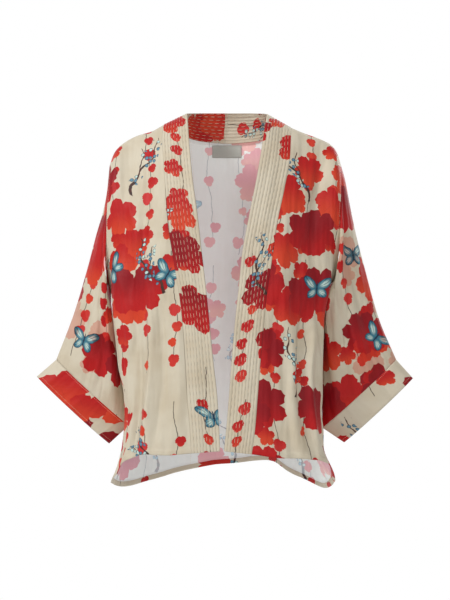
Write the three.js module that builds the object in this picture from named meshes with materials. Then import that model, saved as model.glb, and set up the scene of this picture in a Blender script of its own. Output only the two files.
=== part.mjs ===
// A short kimono jacket as worn, with no wearer: a T-shaped cut with drop shoulders, wide sleeves
// with turned cuff bands, underarm gussets, an open front and one long quilted band.
// Lengths are millimetres. X runs to the photo's right, Y runs from front to back and Z is up.
// The origin is the middle of the shoulder line.
import * as THREE from "three";

const WALL = 1.3; // thickness of the cloth
const SEAM_SETBACK = 0.2; // every sewn edge stands this far back from its seam line
const GUSSET_SETBACK = 0.9;
const HEM_EXTRA = 0.7; // added thickness where a hem is turned up
const CHANNEL_HEIGHT = 0.6; // height of the band's padded rows over its outer face
const CHANNELS = 9; // padded rows side by side across the band
const LABEL_WALL = 1.0;
const LABEL_GAP = 0.8; // between the label and the back's inner face

// Grid counts. A row number runs down the body from the shoulder line to the hem.
const ARMHOLE_ROWS = 8;
const GUSSET_ROWS = 3;
const LAST_ROW = 22;
const FRONT_COLUMNS = 12;
const NECK_COLUMNS = 10;
const GUSSET_COLUMNS = 6;
const SLEEVE_RINGS = 10;
const CUFF_RINGS = 2;
const ARMHOLE_SWEEP = 130; // degrees of the armhole that each of front and back takes
const GUSSET_TIP_ROW = 10.9; // the gusset ends just short of its point

const radians = (degrees) => (degrees * Math.PI) / 180;
const mix = (a, b, share) => a + (b - a) * share;
const clamp = (value) => Math.min(1, Math.max(0, value));
const smooth = (value) => clamp(value) ** 2 * (3 - 2 * clamp(value));

const minus = (a, b) => [a[0] - b[0], a[1] - b[1], a[2] - b[2]];
const plus = (a, b, scale) => [a[0] + b[0] * scale, a[1] + b[1] * scale, a[2] + b[2] * scale];
const length = (a) => Math.hypot(a[0], a[1], a[2]);
const unit = (a) => a.map((value) => value / (length(a) || 1));
const cross = (a, b) => [
  a[1] * b[2] - a[2] * b[1],
  a[2] * b[0] - a[0] * b[2],
  a[0] * b[1] - a[1] * b[0],
];

// A table with named columns, read as smooth curves that keep to the range of their rows.
// The first column is the one that it is looked up by.
function table(names, rows) {
  const columns = names.split(" ");
  const slope = (row, k) => {
    const a = rows[Math.max(row - 1, 0)];
    const b = rows[row];
    const c = rows[Math.min(row + 1, rows.length - 1)];
    if (a === b) return (c[k] - b[k]) / (c[0] - b[0]);
    if (c === b) return (b[k] - a[k]) / (b[0] - a[0]);
    const before = (b[k] - a[k]) / (b[0] - a[0]);
    const after = (c[k] - b[k]) / (c[0] - b[0]);
    return before * after <= 0 ? 0 : (2 * before * after) / (before + after);
  };
  return (at) => {
    const x = Math.min(Math.max(at, rows[0][0]), rows[rows.length - 1][0]);
    let i = 0;
    while (i < rows.length - 2 && x > rows[i + 1][0]) i += 1;
    const span = rows[i + 1][0] - rows[i][0];
    const t = (x - rows[i][0]) / span;
    const found = {};
    columns.forEach((name, k) => {
      const p = rows[i][k];
      const q = rows[i + 1][k];
      const m = slope(i, k) * span;
      const n = slope(i + 1, k) * span;
      const cubic = 2 * p - 2 * q + m + n;
      const square = 3 * q - 3 * p - 2 * m - n;
      found[name] = ((cubic * t + square) * t + m) * t + p;
    });
    return found;
  };
}

// The body's cross-section by share of the drop from shoulder to hem: half widths on the two
// sides, depth of the front and of the back, how square it is, how far each side is pressed in
// (below 0: let out) and how far the back's and the front's corners stand out past it.
const BODY = table(
  "drop left right front back square in_left in_right corner_left corner_right fore_left fore_right",
  [
    [0.0, 208, 200, 0, 3, 2.2, 0, 0, 0, 0, 0, 0],
    [0.008, 206, 198, 14, 17, 2.3, 0, 0, 0, 0, 0, 0],
    [0.03, 202, 193, 28, 32, 2.4, 0, 0, 0, 0, 0, 0],
    [0.066, 197, 186, 44, 50, 2.5, 0, 0, 0, 0, 0, 0],
    [0.113, 193, 180, 60, 70, 2.6, 0, 0, 0, 0, 0, 0],
    [0.166, 191, 176, 76, 88, 2.7, 0, 0, 0, 0, 0, 0],
    [0.22, 190, 173, 88, 101, 2.8, 0, 0, 0, 0, 0, 0],
    [0.3, 188, 168, 100, 114, 2.9, -0.04, -0.02, 0, 0, 0, 0.02],
    [0.38, 187, 160, 106, 118, 2.9, -0.09, -0.06, 0.01, 0.04, 0.05, 0.13],
    [0.46, 186, 152, 110, 121, 2.9, -0.11, -0.11, 0.02, 0.09, 0.11, 0.2],
    [0.55, 186, 147, 113, 122, 2.9, -0.08, -0.12, 0.03, 0.11, 0.11, 0.16],
    [0.65, 187, 148, 116, 123, 2.9, -0.04, -0.11, 0.05, 0.11, 0.08, 0.14],
    [0.75, 190, 157, 117, 124, 2.9, 0.04, -0.05, 0.07, 0.08, 0.05, 0.1],
    [0.86, 196, 171, 118, 125, 2.9, 0.1, 0.09, 0.07, 0.02, 0.055, 0.09],
    [0.94, 204, 182, 118, 126, 2.8, 0.04, 0.07, 0.03, 0, 0.02, 0.03],
    [1.0, 212, 194, 118, 127, 2.7, 0, 0, 0, 0, 0, 0],
  ],
);

// Where the side seam runs round the section, in degrees from the front middle.
const SIDE_SEAM = table("drop left right", [
  [0.0, 78, 78],
  [0.33, 78, 78],
  [0.45, 86, 84],
  [0.6, 80, 76],
  [0.8, 60, 64],
  [0.9, 60, 62],
  [1.0, 66, 64],
]);

// The long band's two edges on the fronts, by share of the drop.
const BAND = table("drop seam_left open_left seam_right open_right", [
  [0.0, 116.5, 74.3, 114.6, 70.6],
  [0.045, 119, 71.8, 113, 66],
  [0.1, 116.5, 69.2, 110.8, 61],
  [0.2, 111.5, 63.2, 99.8, 50.8],
  [0.31, 106, 54, 86.3, 37.5],
  [0.43, 95.5, 45.8, 76, 24.3],
  [0.52, 86.5, 39.4, 68, 18.8],
  [0.62, 79.5, 33.2, 62.2, 12.4],
  [0.74, 75, 26, 55.6, 6],
  [0.84, 71.6, 19.2, 51.2, 1.6],
  [0.92, 67.4, 16.2, 47.4, -2.4],
  [1.0, 64.2, 14.2, 41.5, -7.2],
]);

// The band's folded edge stands above its seam at the neck and ends with it at the hem.
const BAND_TOP = { left: 21, right: 20, hem: -583 };

// The shoulder line from the neck to the sleeve, and the front and back hems below it, by share.
const SHOULDER = {
  left: table("share x y z", [
    [0.0, 116.5, 5, 0.7],
    [0.25, 140, 5, -12],
    [0.5, 165, 5, -19.5],
    [0.75, 190, 6, -33],
    [0.9, 206, 8, -49],
    [1.0, 214.4, 10, -70],
  ]),
  right: table("share x y z", [
    [0.0, 114.6, 5, -4.9],
    [0.25, 140, 5, -15.5],
    [0.5, 162, 5, -23.5],
    [0.75, 186, 6, -35],
    [0.9, 198, 8, -49.5],
    [1.0, 205, 10, -71],
  ]),
};
const FRONT_HEM = {
  left: table("share z", [
    [0.0, -587],
    [0.25, -591],
    [0.45, -590],
    [0.65, -597],
    [0.85, -607],
    [1.0, -629],
  ]),
  right: table("share z", [
    [0.0, -588.5],
    [0.25, -596],
    [0.5, -597.5],
    [0.75, -602],
    [1.0, -610],
  ]),
};
const BACK_HEM = table("share z", [
  [0.0, -629],
  [0.1, -652],
  [0.22, -666],
  [0.32, -657],
  [0.42, -640],
  [0.5, -628.5],
  [0.58, -622],
  [0.68, -650],
  [0.79, -668],
  [0.9, -648],
  [1.0, -610],
]);

// The neckline of the back and the folded edge of the band above it, across the neck.
const NECKLINE = table("share x y z top_x top_y top_z", [
  [0.0, -116.5, 5, 0.7, -74.3, 5, 21],
  [0.1, -101, 34, -7, -68, 33, 24.5],
  [0.2, -83, 61, -14.5, -60, 58, 27.5],
  [0.35, -47, 88, -22, -37, 76, 29.5],
  [0.5, 0, 96, -25, 0, 81, 30],
  [0.65, 47, 88, -22.5, 36, 76, 29.5],
  [0.8, 82, 61, -16, 57, 58, 27],
  [0.9, 99, 34, -10, 64.5, 33, 24],
  [1.0, 114.6, 5, -4.9, 70.6, 5, 20],
]);

// The armholes: the highest and the lowest point and the half depth from front to back.
const ARMHOLE = {
  left: { top_x: 214.4, top_z: -70, under_x: 221, under_z: -290, middle: 10, depth: 52 },
  right: { top_x: 205, top_z: -71, under_x: 197, under_z: -284, middle: 10, depth: 50 },
};

// The sleeves from armhole to cuff seam: highest and lowest point of each ring, the middle of its
// depth, its half depth, and how sharp its two folded edges are.
const SLEEVE = {
  left: table("along top_x top_z under_x under_z middle depth sharp", [
    [0.0, 214.4, -70, 221, -290, 10, 52, 0],
    [0.14, 219, -112, 222.5, -330, 12, 53, 0.05],
    [0.28, 226, -150, 213, -366, 13, 53, 0.1],
    [0.44, 240, -198, 206, -400, 14, 51, 0.15],
    [0.6, 257, -262, 198, -438, 15, 47, 0.2],
    [0.8, 281, -342, 190, -482, 16, 40, 0.3],
    [1.0, 314, -428, 182, -548, 18, 25, 0.4],
  ]),
  right: table("along top_x top_z under_x under_z middle depth sharp", [
    [0.0, 205, -71, 197, -284, 10, 50, 0],
    [0.14, 213, -99, 191, -312, 10, 56, 0.05],
    [0.28, 221, -140, 179, -338, 11, 55, 0.1],
    [0.44, 233, -196, 172, -371, 14, 49, 0.15],
    [0.6, 250, -262, 171, -415, 15, 45, 0.2],
    [0.8, 276, -354, 172, -474, 16, 38, 0.3],
    [1.0, 307.5, -428, 173, -552, 18, 25, 0.4],
  ]),
};
const CUFF = {
  left: table("along top_x top_z under_x under_z middle depth sharp", [
    [0.0, 314, -428, 182, -548, 18, 25, 0.4],
    [1.0, 350, -459, 218, -581, 20, 22, 0.5],
  ]),
  right: table("along top_x top_z under_x under_z middle depth sharp", [
    [0.0, 307.5, -428, 173, -552, 18, 25, 0.4],
    [1.0, 338.5, -462, 213, -579, 20, 22, 0.5],
  ]),
};

// The largest soft folds of the body: where round the section, how wide, how high at the hem and
// from which share of the drop they grow.
const BODY_FOLDS = [
  { at: 33, width: 5, height: 5, from: 0.35 },
  { at: 45, width: 5, height: -5, from: 0.3 },
  { at: 318, width: 6, height: 5, from: 0.3 },
  { at: 330, width: 5, height: -4, from: 0.4 },
  { at: 128, width: 9, height: -9, from: 0.3 },
  { at: 152, width: 7, height: 8, from: 0.35 },
  { at: 170, width: 7, height: -8, from: 0.25 },
  { at: 192, width: 7, height: 7, from: 0.35 },
  { at: 212, width: 7, height: -9, from: 0.3 },
  { at: 236, width: 9, height: 6, from: 0.3 },
];

// The largest soft folds of the sleeves: where round the ring at the armhole and at the cuff.
const SLEEVE_FOLDS = [
  { from_angle: 62, to_angle: 96, width: 13, height: -5 },
  { from_angle: 98, to_angle: 128, width: 12, height: 4 },
  { from_angle: 262, to_angle: 236, width: 14, height: -5 },
  { from_angle: 300, to_angle: 276, width: 13, height: 4 },
];

const sideSign = { left: -1, right: 1 };

// A point of the body's section on one side at an angle from the front middle, and at a drop.
function section(side, degrees, drop) {
  const body = BODY(drop);
  const s = Math.abs(Math.sin(radians(degrees)));
  const c = Math.cos(radians(degrees));
  const power = 2 / body.square;
  const corner = c < 0 ? Math.exp(-(((degrees - 112) / 16) ** 2)) : 0;
  const fore = c > 0 ? Math.exp(-(((degrees - 66) / 13) ** 2)) : 0;
  const stand = body["corner_" + side] * corner + body["fore_" + side] * fore;
  const girth = 1 - body["in_" + side] * s ** 8 + stand;
  const turn = side === "left" ? degrees : 360 - degrees;
  let fold = 0;
  for (const f of BODY_FOLDS) {
    const grown = clamp((drop - f.from) / (1 - f.from)) ** 1.5;
    fold += f.height * grown * Math.exp(-(((turn - f.at) / f.width) ** 2));
  }
  const depth = c >= 0 ? body.front : body.back;
  const x = body[side] * s ** power * girth;
  const y = -Math.sign(c) * (depth * Math.abs(c) ** power + fold * Math.abs(c));
  return [sideSign[side] * x, y];
}

// The share of the drop at a row number. Armhole rows follow equal turns round the armhole.
function dropAt(side, row) {
  const hole = ARMHOLE[side];
  const hem = FRONT_HEM[side](1).z;
  const shareOf = (z) => (hole.top_z - z) / (hole.top_z - hem);
  const heightAt = (turned) => {
    const middle = (hole.top_z + hole.under_z) / 2;
    return middle + (hole.top_z - middle) * Math.cos(radians(turned));
  };
  const armholeEnd = shareOf(heightAt(ARMHOLE_SWEEP));
  const gussetEnd = armholeEnd + 0.135;
  const sideStart = ARMHOLE_ROWS + GUSSET_ROWS;
  if (row <= ARMHOLE_ROWS) {
    return shareOf(heightAt((row / ARMHOLE_ROWS) * ARMHOLE_SWEEP));
  }
  if (row <= sideStart) return mix(armholeEnd, gussetEnd, (row - ARMHOLE_ROWS) / GUSSET_ROWS);
  if (row <= LAST_ROW - 2) {
    return mix(gussetEnd, 0.93, (row - sideStart) / (LAST_ROW - 2 - sideStart));
  }
  if (row <= LAST_ROW - 1) return mix(0.93, 0.985, row - LAST_ROW + 2);
  return mix(0.985, 1, row - LAST_ROW + 1);
}

// A point of the armhole, turned from its top: forward below 180 degrees, backward above.
function armholePoint(side, turned) {
  const hole = ARMHOLE[side];
  const down = (1 - Math.cos(radians(turned))) / 2;
  return [
    sideSign[side] * mix(hole.top_x, hole.under_x, down),
    hole.middle - hole.depth * Math.sin(radians(turned)),
    mix(hole.top_z, hole.under_z, down),
  ];
}

// The outer edge of the front or back panel at a row: armhole, then gusset, then side seam.
function outerEdge(side, row, face) {
  const z = mix(ARMHOLE[side].top_z, FRONT_HEM[side](1).z, dropAt(side, row));
  if (row <= ARMHOLE_ROWS) {
    const turned = (row / ARMHOLE_ROWS) * ARMHOLE_SWEEP;
    return armholePoint(side, face === "front" ? turned : 360 - turned);
  }
  const sideStart = ARMHOLE_ROWS + GUSSET_ROWS;
  const sidePoint = (drop) => section(side, SIDE_SEAM(drop)[side], drop);
  if (row < sideStart) {
    const [x, y] = outerEdge(side, ARMHOLE_ROWS, face);
    const [endX, endY] = sidePoint(dropAt(side, sideStart));
    const share = (row - ARMHOLE_ROWS) / GUSSET_ROWS;
    return [mix(x, endX, share), mix(y, endY, share), z];
  }
  return [...sidePoint(dropAt(side, row)), z];
}

// How far the folded edge of the band is round the section.
function bandAngle(side, edge, drop) {
  const body = BODY(drop);
  const across = BAND(drop)[edge + "_" + side] / body[side];
  return (Math.asin(clamp(Math.abs(across)) ** (body.square / 2)) * 180) / Math.PI;
}

// How much of the shoulder line's own shape is left at a drop.
const shoulderShare = (drop) => clamp(1 - drop / 0.3) ** 3.5;

// A front panel: share 0 is the band seam and 1 the armhole or side seam.
function frontPoint(side, share, row) {
  const drop = dropAt(side, row);
  const to = row < ARMHOLE_ROWS ? 78 : SIDE_SEAM(drop)[side];
  const at = section(side, mix(bandAngle(side, "seam", drop), to, share), drop);
  const end = section(side, to, drop);
  const edge = outerEdge(side, row, "front");
  const plain = (where) => section(side, mix(bandAngle(side, "seam", 0), 78, where), 0);
  const topShift = (where) => {
    const top = SHOULDER[side](where);
    return minus([sideSign[side] * top.x, top.y, 0], [...plain(where), 0]);
  };
  const left = shoulderShare(drop);
  const pull = smooth((share - 0.55) / 0.45);
  const shift = topShift(share);
  const endShift = topShift(1);
  return [
    at[0] + shift[0] * left + (edge[0] - end[0] - endShift[0] * left) * pull,
    at[1] + shift[1] * left + (edge[1] - end[1] - endShift[1] * left) * pull,
    mix(SHOULDER[side](share).z, FRONT_HEM[side](share).z, drop),
  ];
}

// The band on a front: share 0 is its seam and 1 its folded edge.
function frontBandPoint(side, share, row) {
  const drop = dropAt(side, row);
  const seam = frontPoint(side, 0, row);
  const columns = BAND(drop);
  const body = BODY(drop);
  const openX = sideSign[side] * columns["open_" + side];
  const depthAt = (x) => {
    const across = clamp(Math.abs(x) / body[side]) ** body.square;
    return -body.front * (1 - across) ** (1 / body.square);
  };
  const openY = depthAt(openX) + 5 * shoulderShare(drop);
  const x = mix(seam[0], openX, share);
  const rise = depthAt(x) - mix(depthAt(seam[0]), depthAt(openX), share);
  const openZ = mix(BAND_TOP[side], BAND_TOP.hem, drop);
  return [x, mix(seam[1], openY, share) + rise, mix(seam[2], openZ, share)];
}

// Columns of the back from its left edge to its right edge: shoulder, neck, shoulder.
const BACK_COLUMNS = 2 * FRONT_COLUMNS + NECK_COLUMNS;
const NECK_TURN = 28; // degrees of the section on each side that lie under the neckline

// The top edge of the back at a column.
function backTop(column) {
  if (column < FRONT_COLUMNS) {
    const p = SHOULDER.left(1 - column / FRONT_COLUMNS);
    return [-p.x, p.y, p.z];
  }
  if (column > FRONT_COLUMNS + NECK_COLUMNS) {
    const p = SHOULDER.right((column - FRONT_COLUMNS - NECK_COLUMNS) / FRONT_COLUMNS);
    return [p.x, p.y, p.z];
  }
  const n = NECKLINE((column - FRONT_COLUMNS) / NECK_COLUMNS);
  return [n.x, n.y, n.z];
}

// The back's section at a column and drop: which side it is on and its angle.
function backSection(column, drop, outer) {
  const neckStart = 180 - NECK_TURN;
  let turn;
  if (column < FRONT_COLUMNS) turn = mix(outer.left, neckStart, column / FRONT_COLUMNS);
  else if (column > FRONT_COLUMNS + NECK_COLUMNS) {
    const share = (column - FRONT_COLUMNS - NECK_COLUMNS) / FRONT_COLUMNS;
    turn = mix(360 - neckStart, 360 - outer.right, share);
  } else turn = mix(neckStart, 360 - neckStart, (column - FRONT_COLUMNS) / NECK_COLUMNS);
  return turn <= 180 ? section("left", turn, drop) : section("right", 360 - turn, drop);
}

// The back panel at a column and a row.
function backPoint(column, row) {
  const across = column / BACK_COLUMNS;
  const drops = { left: dropAt("left", row), right: dropAt("right", row) };
  const drop = mix(drops.left, drops.right, across);
  const outerAngle = (side) => {
    const start = ARMHOLE_ROWS;
    const end = ARMHOLE_ROWS + GUSSET_ROWS;
    const seam = SIDE_SEAM(drops[side])[side];
    return mix(102, seam, smooth((row - start) / (end - start)));
  };
  const outer = { left: outerAngle("left"), right: outerAngle("right") };
  const at = backSection(column, drop, outer);
  const top = backTop(column);
  const plain = backSection(column, 0, { left: 102, right: 102 });
  const left = shoulderShare(drop);
  const point = [
    at[0] + (top[0] - plain[0]) * left,
    at[1] + (top[1] - plain[1]) * left,
    mix(top[2], BACK_HEM(across).z, drop),
  ];
  for (const side of ["left", "right"]) {
    const edge = outerEdge(side, row, "back");
    const column0 = side === "left" ? 0 : BACK_COLUMNS;
    const end = backSection(column0, drops[side], outer);
    const endTop = backTop(column0);
    const endPlain = backSection(column0, 0, { left: 102, right: 102 });
    const endLeft = shoulderShare(drops[side]);
    const from = Math.abs(column - column0) / FRONT_COLUMNS;
    const pull = smooth(1 - from / 0.45);
    point[0] += (edge[0] - end[0] - (endTop[0] - endPlain[0]) * endLeft) * pull;
    point[1] += (edge[1] - end[1] - (endTop[1] - endPlain[1]) * endLeft) * pull;
  }
  return point;
}

// The band round the back of the neck: share 0 is its seam and 1 its folded edge.
function neckBandPoint(column, share) {
  const n = NECKLINE(column / NECK_COLUMNS);
  const bulge = 4 * Math.sin(Math.PI * share) * Math.sin((Math.PI * column) / NECK_COLUMNS);
  return [
    mix(n.x, n.top_x, share),
    mix(n.y, n.top_y, share) + bulge,
    mix(n.z, n.top_z, share),
  ];
}

// A gusset from the lowest part of the armhole down to the side seam.
function gussetPoint(side, share, row) {
  const front = outerEdge(side, row, "front");
  const back = outerEdge(side, row, "back");
  const hang = (1 - (row - ARMHOLE_ROWS) / GUSSET_ROWS) ** 2;
  const arc = armholePoint(side, mix(ARMHOLE_SWEEP, 360 - ARMHOLE_SWEEP, share));
  const frontArc = armholePoint(side, ARMHOLE_SWEEP);
  const backArc = armholePoint(side, 360 - ARMHOLE_SWEEP);
  return [0, 1, 2].map(
    (k) => mix(front[k], back[k], share) + (arc[k] - mix(frontArc[k], backArc[k], share)) * hang,
  );
}

// The turns round an armhole, sleeve or cuff that its grid uses.
const RING_COLUMNS = 2 * ARMHOLE_ROWS + GUSSET_COLUMNS;
function ringTurn(column) {
  if (column <= ARMHOLE_ROWS) return (column / ARMHOLE_ROWS) * ARMHOLE_SWEEP;
  const past = column - ARMHOLE_ROWS;
  if (past <= GUSSET_COLUMNS) {
    return mix(ARMHOLE_SWEEP, 360 - ARMHOLE_SWEEP, past / GUSSET_COLUMNS);
  }
  return mix(360 - ARMHOLE_SWEEP, 360, (past - GUSSET_COLUMNS) / ARMHOLE_ROWS);
}

// A point of a sleeve or cuff.
function tubePoint(side, tube, turned, along, folded) {
  const ring = tube[side](along);
  const s = Math.sin(radians(turned));
  const down = (1 - Math.cos(radians(turned))) / 2;
  let depth = ring.depth * Math.abs(s) ** (1 + ring.sharp);
  if (folded) {
    for (const f of SLEEVE_FOLDS) {
      const middle = mix(f.from_angle, f.to_angle, along);
      const grown = Math.sin(Math.PI * clamp(along)) ** 0.8;
      depth += f.height * grown * Math.exp(-(((turned - middle) / f.width) ** 2));
    }
  }
  return [
    sideSign[side] * mix(ring.top_x, ring.under_x, down),
    ring.middle - Math.sign(s) * depth,
    mix(ring.top_z, ring.under_z, down),
  ];
}

// A piece of cloth as a grid of middle points. flip turns its outer side round, closed joins its
// first and last column, setback lists the edges that are sewn, and relief and extra give the
// height of the outer face and the added thickness at a grid place.
function cloth(name, columns, rows, pointAt, options) {
  const points = [];
  for (let j = 0; j < rows.length; j += 1) {
    const row = [];
    for (let i = 0; i <= columns; i += 1) row.push(pointAt(i, rows[j]));
    points.push(row);
  }
  return { name, columns, points, ...options };
}

const NO_RELIEF = () => 0;

function gridNormals(piece) {
  const { points, columns, closed, flip } = piece;
  const last = points.length - 1;
  return points.map((row, j) =>
    row.map((_, i) => {
      const left = i > 0 ? i - 1 : closed ? columns - 1 : 0;
      const right = i < columns ? i + 1 : closed ? 1 : columns;
      const across = minus(points[j][right], points[j][left]);
      const down = minus(points[Math.min(j + 1, last)][i], points[Math.max(j - 1, 0)][i]);
      const normal = unit(cross(unit(across), unit(down)));
      return flip ? normal.map((value) => -value) : normal;
    }),
  );
}

// Pieces that meet at a seam share the mean of their outward directions there, so that their
// walls meet in a mitre.
function shareSeamNormals(pieces) {
  const sums = new Map();
  const keyOf = (p) => p.map((value) => Math.round(value * 20)).join(" ");
  const onEdge = (piece, i, j) =>
    j === 0 || j === piece.points.length - 1 || (!piece.closed && (i === 0 || i === piece.columns));
  const visit = (act) => {
    for (const piece of pieces) {
      piece.points.forEach((row, j) =>
        row.forEach((point, i) => onEdge(piece, i, j) && act(piece, i, j, keyOf(point))),
      );
    }
  };
  visit((piece, i, j, key) => {
    const sum = sums.get(key) || [0, 0, 0];
    sums.set(key, plus(sum, piece.normals[j][i], 1));
  });
  visit((piece, i, j, key) => {
    piece.normals[j][i] = unit(sums.get(key));
  });
}

// Moves the sewn edges back from their seam lines, toward the row or column next to them.
function setBackEdges(piece) {
  const { points, columns, setback } = piece;
  const last = points.length - 1;
  const moved = points.map((row) => row.map((point) => [...point]));
  const distance = piece.distance || SEAM_SETBACK;
  const pull = (j, i, towardJ, towardI) => {
    const step = unit(minus(points[towardJ][towardI], points[j][i]));
    moved[j][i] = plus(moved[j][i], step, distance);
  };
  for (let i = 0; i <= columns; i += 1) {
    if (setback.includes("first_row")) pull(0, i, 1, i);
    if (setback.includes("last_row")) pull(last, i, last - 1, i);
  }
  for (let j = 0; j <= last; j += 1) {
    if (setback.includes("first_column")) pull(j, 0, j, 1);
    if (setback.includes("last_column")) pull(j, columns, j, columns - 1);
  }
  return moved;
}

// The closed solid of a piece: an outer and an inner face and the walls between their edges.
function solid(piece) {
  const { columns, closed, flip, normals } = piece;
  const relief = piece.relief || NO_RELIEF;
  const extra = piece.extra || NO_RELIEF;
  const wall = piece.wall || WALL;
  const points = setBackEdges(piece);
  const last = points.length - 1;
  const width = closed ? columns : columns + 1;
  const places = [];
  for (const side of [1, -1]) {
    for (let j = 0; j <= last; j += 1) {
      for (let i = 0; i < width; i += 1) {
        const raised = side > 0 ? relief(i, j) : 0;
        const away = (wall + extra(i, j)) / 2 + raised;
        places.push(...plus(points[j][i], normals[j][i], side * away));
      }
    }
  }
  const inner = width * (last + 1);
  const index = [];
  const face = (a, b, c) => index.push(...(flip ? [a, c, b] : [a, b, c]));
  const quad = (a, b, c, d) => {
    face(a, b, c);
    face(a, c, d);
  };
  const at = (i, j) => j * width + (i % width);
  for (let j = 0; j < last; j += 1) {
    for (let i = 0; i < columns; i += 1) {
      quad(at(i, j), at(i + 1, j), at(i + 1, j + 1), at(i, j + 1));
      const [a, b, c, d] = [at(i, j), at(i, j + 1), at(i + 1, j + 1), at(i + 1, j)];
      quad(a + inner, b + inner, c + inner, d + inner);
    }
    if (!closed) {
      quad(at(0, j), at(0, j + 1), at(0, j + 1) + inner, at(0, j) + inner);
      const [a, b] = [at(columns, j), at(columns, j + 1)];
      quad(b, a, a + inner, b + inner);
    }
  }
  for (let i = 0; i < columns; i += 1) {
    quad(at(i + 1, 0), at(i, 0), at(i, 0) + inner, at(i + 1, 0) + inner);
    const [a, b] = [at(i, last), at(i + 1, last)];
    quad(a, b, b + inner, a + inner);
  }
  const geometry = new THREE.BufferGeometry();
  geometry.setAttribute("position", new THREE.Float32BufferAttribute(places, 3));
  geometry.setIndex(index);
  geometry.computeVertexNormals();
  return geometry;
}

const count = (from, to) => Array.from({ length: to - from + 1 }, (_, i) => from + i);
const BODY_ROWS = count(0, LAST_ROW);
const GUSSET_GRID = [ARMHOLE_ROWS, ARMHOLE_ROWS + 1, ARMHOLE_ROWS + 2, GUSSET_TIP_ROW];
const hemExtra = (i, j) => (j >= LAST_ROW - 1 ? HEM_EXTRA : 0);

function frontPanel(side, name) {
  const pointAt = (i, row) => frontPoint(side, i / FRONT_COLUMNS, row);
  return cloth(name, FRONT_COLUMNS, BODY_ROWS, pointAt, {
    flip: side === "right",
    extra: hemExtra,
    setback: ["first_row", "first_column", "last_column"],
  });
}

function tube(name, side, shape, rings, folded, setback) {
  const alongRows = count(0, rings).map((ring) => ring / rings);
  const pointAt = (i, along) => tubePoint(side, shape, ringTurn(i), along, folded);
  return cloth(name, RING_COLUMNS, alongRows, pointAt, {
    closed: true,
    flip: side === "left",
    setback,
  });
}

function gusset(side, name) {
  const pointAt = (i, row) => gussetPoint(side, i / GUSSET_COLUMNS, row);
  return cloth(name, GUSSET_COLUMNS, GUSSET_GRID, pointAt, {
    flip: side === "right",
    distance: GUSSET_SETBACK,
    setback: ["first_row", "first_column", "last_column"],
  });
}

// The long band: up the left of the photo, round the neck and down its right.
function longBand(name) {
  const stations = [
    ...count(0, LAST_ROW).map((k) => ({ side: "left", row: LAST_ROW - k })),
    ...count(1, NECK_COLUMNS - 1).map((column) => ({ column })),
    ...count(0, LAST_ROW).map((row) => ({ side: "right", row })),
  ];
  const columns = 2 * CHANNELS;
  const pointAt = (i, station) =>
    station.side
      ? frontBandPoint(station.side, i / columns, station.row)
      : neckBandPoint(station.column, i / columns);
  return cloth(name, columns, stations, pointAt, {
    relief: (i) => (i % 2 ? CHANNEL_HEIGHT : 0),
    setback: ["first_column"],
  });
}

// The label hangs from the neck seam inside the back.
function label(name) {
  const columns = 6;
  const width = 54.5;
  const left = -29.2;
  const away = WALL / 2 + LABEL_GAP + LABEL_WALL / 2;
  const pointAt = (i, z) => {
    const x = left + (width * i) / columns;
    const column = columnOfBack(x);
    const row = rowOfBack(column, z);
    return [x, facetedBack(column, row)[1] - away, z];
  };
  return cloth(name, columns, [-29, -36, -44, -52], pointAt, { wall: LABEL_WALL, setback: [] });
}

// The back's flat facets at a column and row, which stand a little inside its smooth surface.
function facetedBack(column, row) {
  const [i, j] = [Math.floor(column), Math.floor(row)];
  const between = (a, b, share) => a.map((value, k) => mix(value, b[k], share));
  const upper = between(backPoint(i, j), backPoint(i + 1, j), column - i);
  const lower = between(backPoint(i, j + 1), backPoint(i + 1, j + 1), column - i);
  return between(upper, lower, row - j);
}

// The column of the back at an x near its middle, and the row at a height, by halving.
function columnOfBack(x) {
  let low = FRONT_COLUMNS;
  let high = FRONT_COLUMNS + NECK_COLUMNS;
  for (let step = 0; step < 30; step += 1) {
    const middle = (low + high) / 2;
    if (backPoint(middle, 4)[0] < x) low = middle;
    else high = middle;
  }
  return (low + high) / 2;
}

function rowOfBack(column, z) {
  let low = 0;
  let high = LAST_ROW;
  for (let step = 0; step < 30; step += 1) {
    const middle = (low + high) / 2;
    if (backPoint(column, middle)[2] > z) low = middle;
    else high = middle;
  }
  return (low + high) / 2;
}

const pieces = [
  frontPanel("left", "front_right"),
  frontPanel("right", "front_left"),
  cloth("back", BACK_COLUMNS, BODY_ROWS, backPoint, {
    extra: hemExtra,
    setback: ["first_row", "first_column", "last_column"],
  }),
  tube("sleeve_right", "left", SLEEVE, SLEEVE_RINGS, true, ["first_row", "last_row"]),
  tube("sleeve_left", "right", SLEEVE, SLEEVE_RINGS, true, ["first_row", "last_row"]),
  tube("cuff_right", "left", CUFF, CUFF_RINGS, false, ["first_row"]),
  tube("cuff_left", "right", CUFF, CUFF_RINGS, false, ["first_row"]),
  gusset("left", "gusset_right"),
  gusset("right", "gusset_left"),
  longBand("neck_band"),
  label("label"),
];
for (const piece of pieces) piece.normals = gridNormals(piece);
shareSeamNormals(pieces);

const COLOURS = {
  front_right: 0xe0b8a0,
  front_left: 0xe0b8a0,
  back: 0xe4cdb8,
  sleeve_right: 0xd89a88,
  sleeve_left: 0xd89a88,
  cuff_right: 0xe6d8c4,
  cuff_left: 0xe6d8c4,
  gusset_right: 0xc87868,
  gusset_left: 0xc87868,
  neck_band: 0xbf5048,
  label: 0xaaaea4,
};

const kimono = new THREE.Group();
kimono.name = "kimono";
for (const piece of pieces) {
  const material = new THREE.MeshStandardMaterial({ color: COLOURS[piece.name] });
  const mesh = new THREE.Mesh(solid(piece), material);
  mesh.name = piece.name;
  kimono.add(mesh);
}

export default kimono;
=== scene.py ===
# %% [markdown]
# # A short kimono jacket
# The jacket is thin printed cloth, shown as worn with no wearer. Each cut piece of cloth is one
# mesh: a flat grid is bent into the worn shape, then given a little thickness. The print, the
# rows of stitching and the soft folds are added on top, so each can be changed by itself.

import math

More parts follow.
